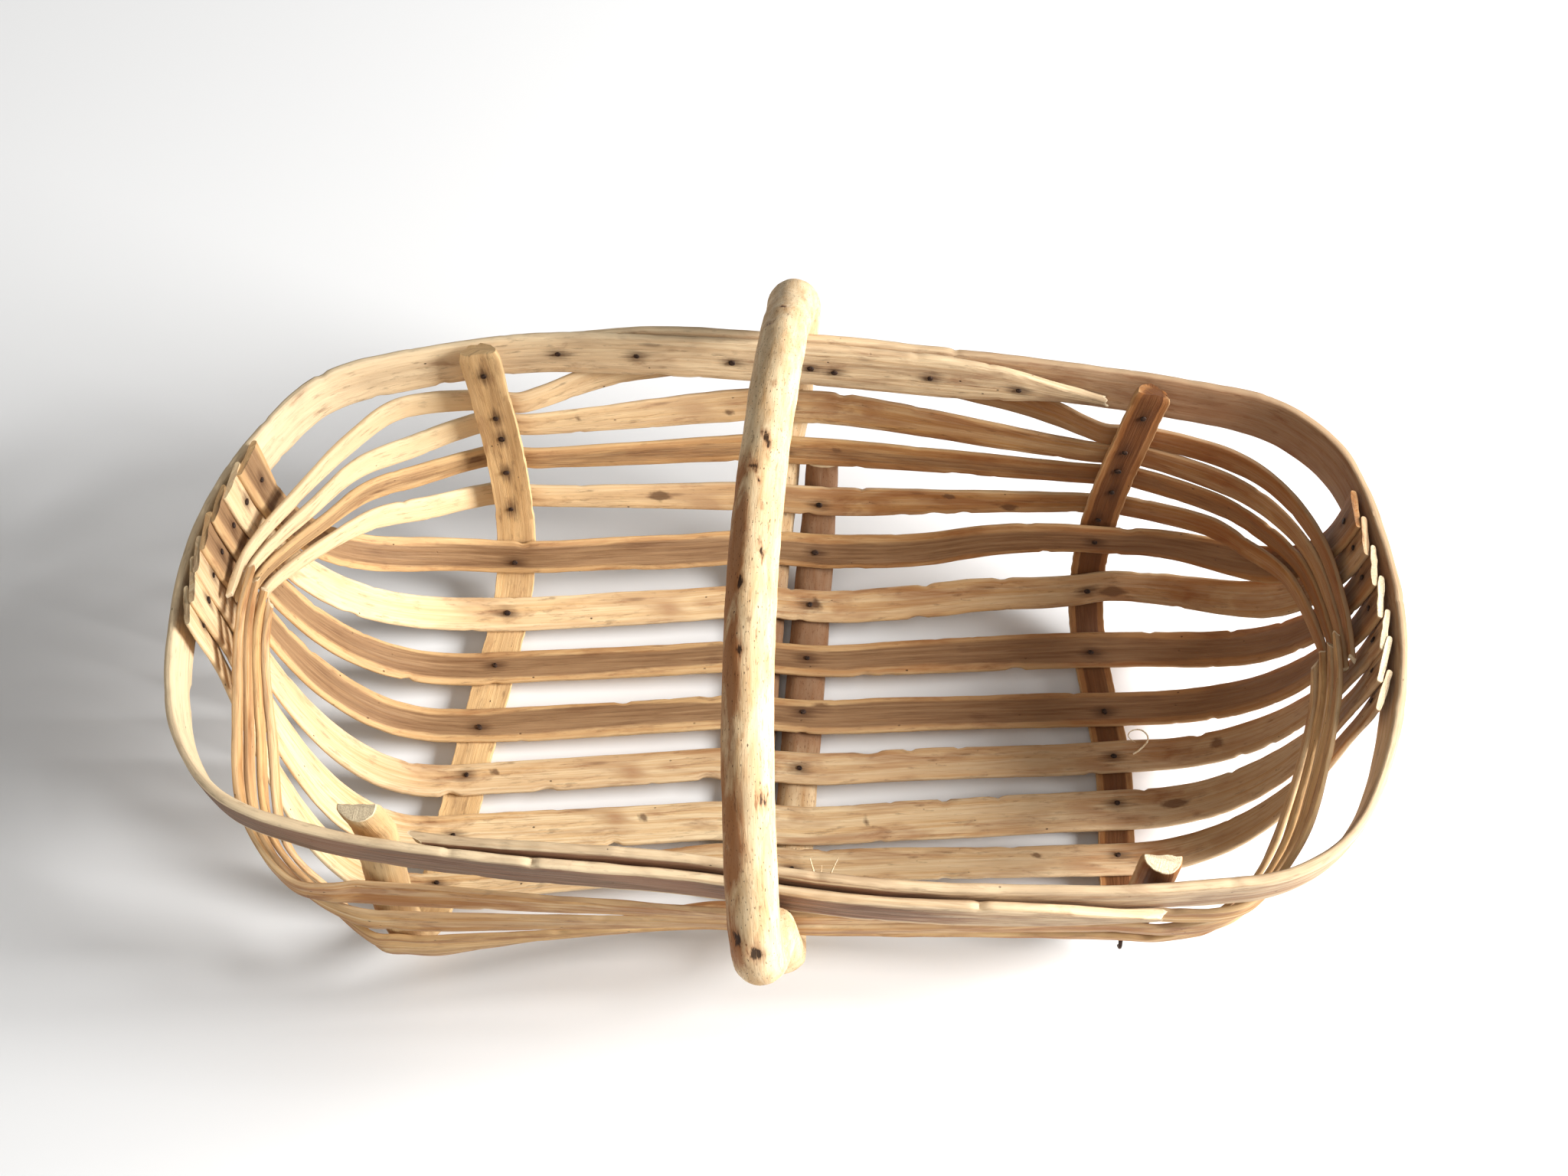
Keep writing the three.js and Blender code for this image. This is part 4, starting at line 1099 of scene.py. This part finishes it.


# %% [markdown]
# ## Wood
# Light split wood, darker and greyer with age. Towards the right end it is
# painted browner and a warmer amber, partly the wood's own brown and partly
# painted shade. Towards the left end it is painted paler as painted light. The
# grain is long streaks along the wood's own map; fine fibres lie on top of them;
# broad clouds make parts of a lath warmer or greyer. Small dark knots and worm
# holes sit here and there. Bark is a separate, mottled brown-grey colour laid
# over the wood by its mark, with a broken border. Iron leaves dark oval stains
# around each nail.

# %% Patterns and layers of wood
WOOD_PATTERNS = {
    # waves to the metre along and across the fibres, detail, roughness, distortion
    "streaks": ((9, 420), 5.0, 0.62, 0.35),
    "fibres": ((60, 2600), 3.0, 0.6),
    "clouds": ((13, 60), 3.0, 0.6, 0.8),
    "dark_lines": ((14, 900), 3.0, 0.6, 0.2),
    "rusty": ((26, 95), 5.0, 0.65, 0.5),
    "grime": ((75, 330), 4.0, 0.65),
    "patches": ((20, 520), 6.0, 0.62, 0.3),
    "broken": ((45, 700), 4.0, 0.6),
    "faded": ((11, 40), 2.0, 0.5),
}
WOOD_LAYERS = [
    # the value, its tint, where it begins to show, where it shows most, and how much then
    ("amount", "middle", 0.0, 1.0, 1.0),
    ("warm", "dark", 0.48, 0.74, 0.75),
    ("fibres", "dark", 0.5, 0.75, 0.34),
    ("dark_lines", "dark", 0.62, 0.72, 0.5),
    # darker with age, and with painted shade towards the right end
    ("aged", "dark", 0.0, 1.0, 1.0),
    # painted light, making the left end paler
    ("bleached", "light", 0.0, 1.0, 1.0),
    ("rusty", "rust", 0.55, 0.7, 0.5),
    ("grime", "grime", 0.57, 0.7, 0.42),
    ("knots", "bark_dark", 0.0, 1.0, 0.8),
    ("holes", "hole", 0.0, 1.0, 0.85),
    ("cover", "bark", 0.0, 1.0, 0.86),
    # a warm amber over aged wood, partly its own brown and partly painted shade of the right end
    ("aged", "age_and_shade_amber", 0.0, 1.0, 0.6),
    ("edge", "light", 0.55, 1.0, 0.3),
    ("stain", "iron", 0.2, 0.85, 0.75),
    ("cut", "cut", 0.45, 0.8, 1.0),
]
# the amber also paints the saturated shade of the right end
WOOD_TINTS = {"rust": colour(0.5, 0.28, 0.14), "grime": colour(0.34, 0.22, 0.13),
              "hole": colour(0.16, 0.1, 0.06), "age_and_shade_amber": colour(0.5, 0.27, 0.09),
              "iron": colour(0.3, 0.18, 0.1)}
CUT_CREAM = colour(0.95, 0.88, 0.74)
# a kind of wood differs from the next by such a shift of its patterns
KIND_SHIFT = (3.17, 1.71, 0.37)
STREAK_LEVELS, TONE_RANGE, TONE_WARMTH = (0.34, 0.68), (-0.2, 0.3), 0.12
# size of the spots, levels of their border, and which of them show
SMALL_KNOTS = ((17, 75), (0.16, 0.04), (0.74, 0.78))
WORM_HOLES = ((150, 230), (0.13, 0.08), (0.78, 0.8))
KNOT_BREAKS, KNOT_LEVELS = 0.12, (0.1, 0.42)
BARK_BREAKS, BARK_LEVELS, LEAST_BARK = 0.12, (0.3, 0.62), 0.2
PATCH_LEVELS, PATCH_HEIGHTS = (0.33, 0.68), (0.1, 0.5)
STAIN_BREAKS = 0.25
PORES, PORE_LEVELS, PORE_DARKNESS = (1500.0, 3.0, 0.6), (0.42, 0.66), 0.4
WOOD_ROUGH, WOOD_SPECULAR = (0.55, 0.8), 0.3
WOOD_HEIGHTS = {"streaks": 0.7, "fibres": 0.3, "rough_bark": 1.0, "holes": -1.5}
WOOD_BUMP = (0.8, 0.0009)


def wood(name, seed, light, middle, dark, bark_light, bark_dark, fading, faded_levels):
    """Split wood with grain, knots, worm holes, bark, stains and cut ends."""
    s = Shader(name)
    shift = [seed * step for step in KIND_SHIFT]
    look = s.patterns(WOOD_PATTERNS, shift)
    look.update({mark: s.mark(mark) for mark in ("aged", "bleached", "edge", "cut")})
    streaks, tone, bark = look["streaks"], s.mark("tone"), s.mark("bark")
    look["amount"] = s.plus(s.between(streaks, *STREAK_LEVELS), s.between(tone, 0, 1, *TONE_RANGE))
    look["warm"] = s.plus(look["clouds"], s.times(tone, TONE_WARMTH))
    grown = s.between(s.broken_up(s.mark("knot"), streaks, KNOT_BREAKS), *KNOT_LEVELS)
    look["knots"] = s.maths("MAXIMUM", s.scattered(shift, *SMALL_KNOTS), grown)
    look["holes"] = s.scattered(shift, *WORM_HOLES)
    cover = s.between(s.broken_up(bark, look["broken"], BARK_BREAKS), *BARK_LEVELS)
    look["cover"] = s.times(cover, s.between(bark, 0, LEAST_BARK))
    look["stain"] = s.broken_up(s.mark("stain"), look["broken"], STAIN_BREAKS)
    look["rough_bark"] = s.times(look["cover"],
                                 s.between(look["patches"], *PATTERN_RANGE, *PATCH_HEIGHTS))

    bark_colour = s.over(bark_dark, bark_light, look["patches"], *PATCH_LEVELS)
    bark_colour = s.over(bark_colour, bark_light, look["faded"], *faded_levels, fading)
    pore_scale, *pore_numbers = PORES
    pores = s.noise(s.placed(pore_scale), *pore_numbers)
    cut_face = s.over(CUT_CREAM, dark, pores, *PORE_LEVELS, PORE_DARKNESS)
    tints = dict(WOOD_TINTS, light=light, middle=middle, dark=dark, bark=bark_colour,
                 bark_dark=bark_dark, cut=cut_face)
    s.raised(look, WOOD_HEIGHTS, *WOOD_BUMP)
    return s.finished(s.layered(light, WOOD_LAYERS, look, tints),
                      s.between(streaks, *PATTERN_RANGE, *WOOD_ROUGH), WOOD_SPECULAR)


OCHRE, TAN = colour(0.81, 0.63, 0.4), colour(0.57, 0.34, 0.16)
BARK_GREY, BARK_BROWN = colour(0.62, 0.5, 0.37), colour(0.38, 0.27, 0.18)
WOOD_KINDS = {
    # light, middle and dark wood, light and dark bark, how much the bark faded and where
    "split_wood": (colour(0.93, 0.84, 0.68), OCHRE, TAN, BARK_GREY, BARK_BROWN,
                   0.55, (0.45, 0.75)),
    "bark_wood": (colour(0.92, 0.8, 0.6), OCHRE, TAN, BARK_GREY, BARK_BROWN,
                  0.55, (0.45, 0.75)),
    "rim_wood": (colour(0.93, 0.84, 0.69), colour(0.79, 0.64, 0.47), colour(0.48, 0.31, 0.19),
                 colour(0.54, 0.37, 0.28), colour(0.26, 0.15, 0.12), 0.7, (0.5, 0.6)),
    "rib_wood": (colour(0.92, 0.8, 0.6), colour(0.8, 0.62, 0.4), colour(0.54, 0.33, 0.16),
                 colour(0.36, 0.23, 0.13), colour(0.17, 0.1, 0.06), 0.1, (0.45, 0.75)),
}
woods = {name: wood(name, seed, *kind)
         for seed, (name, kind) in enumerate(WOOD_KINDS.items(), start=1)}
print("kinds of split wood:", list(woods))

# %% [markdown]
# ## Peeled pole
# The peeled pole is smoother and warmer than the laths. Hands have polished its
# arch. Orange-brown patches of inner bark are left on it, with painted shade
# added on the side that looks left. Fine dark specks follow the fibres, the feet
# under the floor are painted dark as painted shade, and the heart of every knot
# is nearly black.

# %% The pole's material
POLE_PATTERNS = {
    "streaks": ((30, 130), 6.0, 0.64, 0.4),
    "fibres": ((110, 1500), 3.0, 0.6),
    "specks": ((420, 800), 2.0, 0.5),
    "flecks": ((110, 420), 3.0, 0.6),
}
INNER_BARK, INNER_BARK_SHIFT = {"patches": ((24, 60), 6.0, 0.66, 0.6)}, (3.1, 0.4, 0)
# how much the left side's inner bark and painted shade add to the patches
LEFT_BARK_AND_SHADE_MARK, INNER_BARK_LEVELS = 0.3, (0.6, 0.8)
POLE_LAYERS = [
    ("streaks", "honey", 0.38, 0.7, 1.0),
    # inner bark patches, with painted shade on the side that looks left
    ("inner_bark_and_painted_shade", "rust", 0.0, 1.0, 0.85),
    ("fibres", "rust", 0.52, 0.8, 0.2),
    ("flecks", "brown", 0.6, 0.67, 0.5),
    ("specks", "speck", 0.64, 0.7, 0.8),
    # painted shade on the feet under the floor
    ("under", "shade", 0.0, 1.0, 0.8),
    ("scar", "rust", 0.3, 0.8, 0.6),
    ("scar", "heart", 0.72, 0.9, 0.92),
    ("cut", "cream", 0.45, 0.8, 1.0),
]
POLE_PALE = colour(0.91, 0.81, 0.65)
POLE_TINTS = {"honey": colour(0.78, 0.62, 0.43), "rust": colour(0.6, 0.36, 0.18),
              "brown": colour(0.42, 0.26, 0.15), "speck": colour(0.2, 0.12, 0.07),
              "shade": colour(0.4, 0.22, 0.13), "heart": colour(0.15, 0.09, 0.05),
              "cream": CUT_CREAM}
SCAR_BREAKS = 0.3
# dullness of unhandled and of handled wood, what the streaks add to it, and the shine
POLE_ROUGH, STREAK_ROUGH, POLE_SPECULAR = (0.78, 0.66), (-0.06, 0.08), 0.22
POLE_HEIGHTS = {"streaks": 1.0, "fibres": 0.4, "inner_bark_and_painted_shade": 0.5}
POLE_BUMP = (0.5, 0.0008)


def peeled(name):
    """A peeled, handled pole with patches of inner bark, painted shade on its left side and its
    feet, and dark knots.
    """
    s = Shader(name)
    look = s.patterns(POLE_PATTERNS)
    look.update(s.patterns(INNER_BARK, INNER_BARK_SHIFT))
    look.update({mark: s.mark(mark) for mark in ("under", "cut")})
    inner_bark_and_painted_shade = s.plus(look["patches"], s.times(s.mark("left"), LEFT_BARK_AND_SHADE_MARK))
    look["inner_bark_and_painted_shade"] = s.between(inner_bark_and_painted_shade, *INNER_BARK_LEVELS)
    look["scar"] = s.broken_up(s.mark("scar"), look["flecks"], SCAR_BREAKS)
    rough = s.plus(s.between(s.mark("worn"), 0, 1, *POLE_ROUGH),
                   s.between(look["streaks"], *PATTERN_RANGE, *STREAK_ROUGH))
    s.raised(look, POLE_HEIGHTS, *POLE_BUMP)
    return s.finished(s.layered(POLE_PALE, POLE_LAYERS, look, POLE_TINTS), rough, POLE_SPECULAR)


woods["pole_wood"] = peeled("pole_wood")
print("materials of wood:", len(woods))

# %% [markdown]
# ## Iron and loose fibres
# Nail heads are small and rusty: a dark brown-black iron with a dull shine,
# duller and browner where it rusts. The loose fibres are fresh, pale wood with
# a little tan in it. Both are too small for layers: two colours, mixed by one
# cloudy pattern, are enough.

# %% The nails' and the fibres' materials
# scale, detail and roughness of the pattern, and the levels between which it mixes
RUST, RUST_LEVELS = (900.0, 2.0, 0.5), (0.42, 0.62)
IRON_BLACK, IRON_BROWN = colour(0.15, 0.11, 0.09), colour(0.26, 0.16, 0.1)
IRON_METALLIC, IRON_ROUGH = (0.6, 0.1), (0.5, 0.8)
TUFTS, TUFT_LEVELS = (700.0, 3.0, 0.6), (0.4, 0.65)
FIBRE_PALE, FIBRE_TAN, FIBRE_ROUGH = colour(0.96, 0.91, 0.8), colour(0.84, 0.7, 0.5), 0.7


def mixed_by(s, pattern, levels):
    """How much of the second of two colours shows, by a cloudy pattern in the object."""
    scale, *numbers = pattern
    return s.between(s.noise(s.placed(scale), *numbers), *levels)


iron = Shader("nail_iron")
rust = mixed_by(iron, RUST, RUST_LEVELS)
iron.plug(iron.surface.inputs["Metallic"], iron.between(rust, 0, 1, *IRON_METALLIC))
nail_iron = iron.finished(iron.over(IRON_BLACK, IRON_BROWN, rust, 0, 1),
                          iron.between(rust, 0, 1, *IRON_ROUGH))
fibre = Shader("fibre_wood")
fibre_wood = fibre.finished(
    fibre.over(FIBRE_PALE, FIBRE_TAN, mixed_by(fibre, TUFTS, TUFT_LEVELS), 0, 1), FIBRE_ROUGH)
print("and for small things:", nail_iron.name, fibre_wood.name)

# %% [markdown]
# ## Putting it all together
# Most laths are plain split wood, and five with much bark use the bark's kind.
# Every dressed piece takes the place of the solid strip it was made from. The
# nails and the loose fibres are added to the basket and replace nothing.

# %% Giving every piece its material and its place in the object
NAME_ENDING = "_wood"
BARKED = ["floor_slat_1", "floor_slat_3", "floor_slat_4", "back_slat_3", "front_slat_3"]
SLOTS = dict.fromkeys(BACK_SLATS + FRONT_SLATS + FLOOR_SLATS, "split_wood")
for members, kind in ((BARKED, "bark_wood"), (RIMS, "rim_wood"), (RIBS, "rib_wood"),
                      (["handle"], "pole_wood")):
    SLOTS.update(dict.fromkeys(members, kind))
for name, piece in pieces.items():
    piece.data.materials.append(woods[SLOTS[name]])
    piece.name = name + NAME_ENDING
    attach(piece, "root")
    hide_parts(name)
for joined in nails.values():
    joined.data.materials.append(nail_iron)
    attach(joined, "root")
for strand in strands.values():
    strand.data.materials.append(fibre_wood)
    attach(strand, "root")
print("pieces of wood:", len(pieces), "and groups of nails:", len(nails))

# %% [markdown]
# ## Floor, light and camera
# The basket stands on a plain pale floor. Soft daylight comes from the right,
# over the rim, so the inside of the right end is in shade and the left end is
# bright. The camera looks down at the basket from the front, as a standing
# person does.

# %% Floor and light
FLOOR_SIZE, FLOOR_COLOUR, FLOOR_ROUGH = 5.0, (0.86, 0.87, 0.88, 1), 0.75
bpy.ops.object.select_all(action="DESELECT")
bpy.ops.mesh.primitive_plane_add(size=FLOOR_SIZE, location=(0, 0, 0))
floor = bpy.context.active_object
floor.name = "studio_floor"
floor.data.materials.append(Shader("studio_floor").finished(FLOOR_COLOUR, FLOOR_ROUGH))

BASKET_MIDDLE = (0, 0, 0.12)
LAMPS = {
    # place, size, power and tint
    "window": ((2.5, -0.25, 1.5), 1.3, 200, (1.0, 0.99, 0.975)),
    "fill": ((-0.6, -1.6, 2.6), 2.6, 22, (1.0, 0.95, 0.88)),
}
for name, (place, size, power, tint) in LAMPS.items():
    bpy.ops.object.light_add(type="AREA", location=place)
    lamp = bpy.context.active_object
    lamp.name = name
    lamp.data.size = size
    lamp.data.energy = power
    lamp.data.color = tint
    lamp.rotation_mode = "QUATERNION"
    lamp.rotation_quaternion = (Vector(place) - Vector(BASKET_MIDDLE)).to_track_quat("Z", "Y")

world = bpy.data.worlds.new("studio")
bpy.context.scene.world = world
world.use_nodes = True
sky = world.node_tree.nodes["Background"]
ROOM_LIGHT = 0.2
sky.inputs["Color"].default_value = (1, 1, 1, 1)
sky.inputs["Strength"].default_value = ROOM_LIGHT
seen = world.node_tree.nodes.new("ShaderNodeLightPath")
strength = world.node_tree.nodes.new("ShaderNodeMapRange")
strength.inputs["To Min"].default_value = ROOM_LIGHT
strength.inputs["To Max"].default_value = 1.0
world.node_tree.links.new(seen.outputs["Is Camera Ray"], strength.inputs["Value"])
world.node_tree.links.new(strength.outputs["Result"], sky.inputs["Strength"])
print("lamps:", list(LAMPS))

# %% [markdown]
# The camera stands in front of the basket, a little right of its middle, and
# looks steeply down into it, so that the floor laths, both raised ends and the
# arch of the pole are seen at once. A rather long lens keeps the near side of
# the rim from looking swollen.

# %% Camera
CAMERA_PLACE = (0.05188, -0.76684, 1.35300)
CAMERA_TURN = (34.284, -0.099, 4.094)
CAMERA_LENS, SENSOR_WIDTH = 58.54, 36.0
bpy.ops.object.camera_add(location=CAMERA_PLACE,
                          rotation=[math.radians(a) for a in CAMERA_TURN])
camera = bpy.context.active_object
camera.name = "camera"
camera.data.lens = CAMERA_LENS
camera.data.sensor_width = SENSOR_WIDTH
bpy.context.scene.camera = camera
bpy.context.scene.view_settings.view_transform = "Standard"
print("camera at", CAMERA_PLACE)
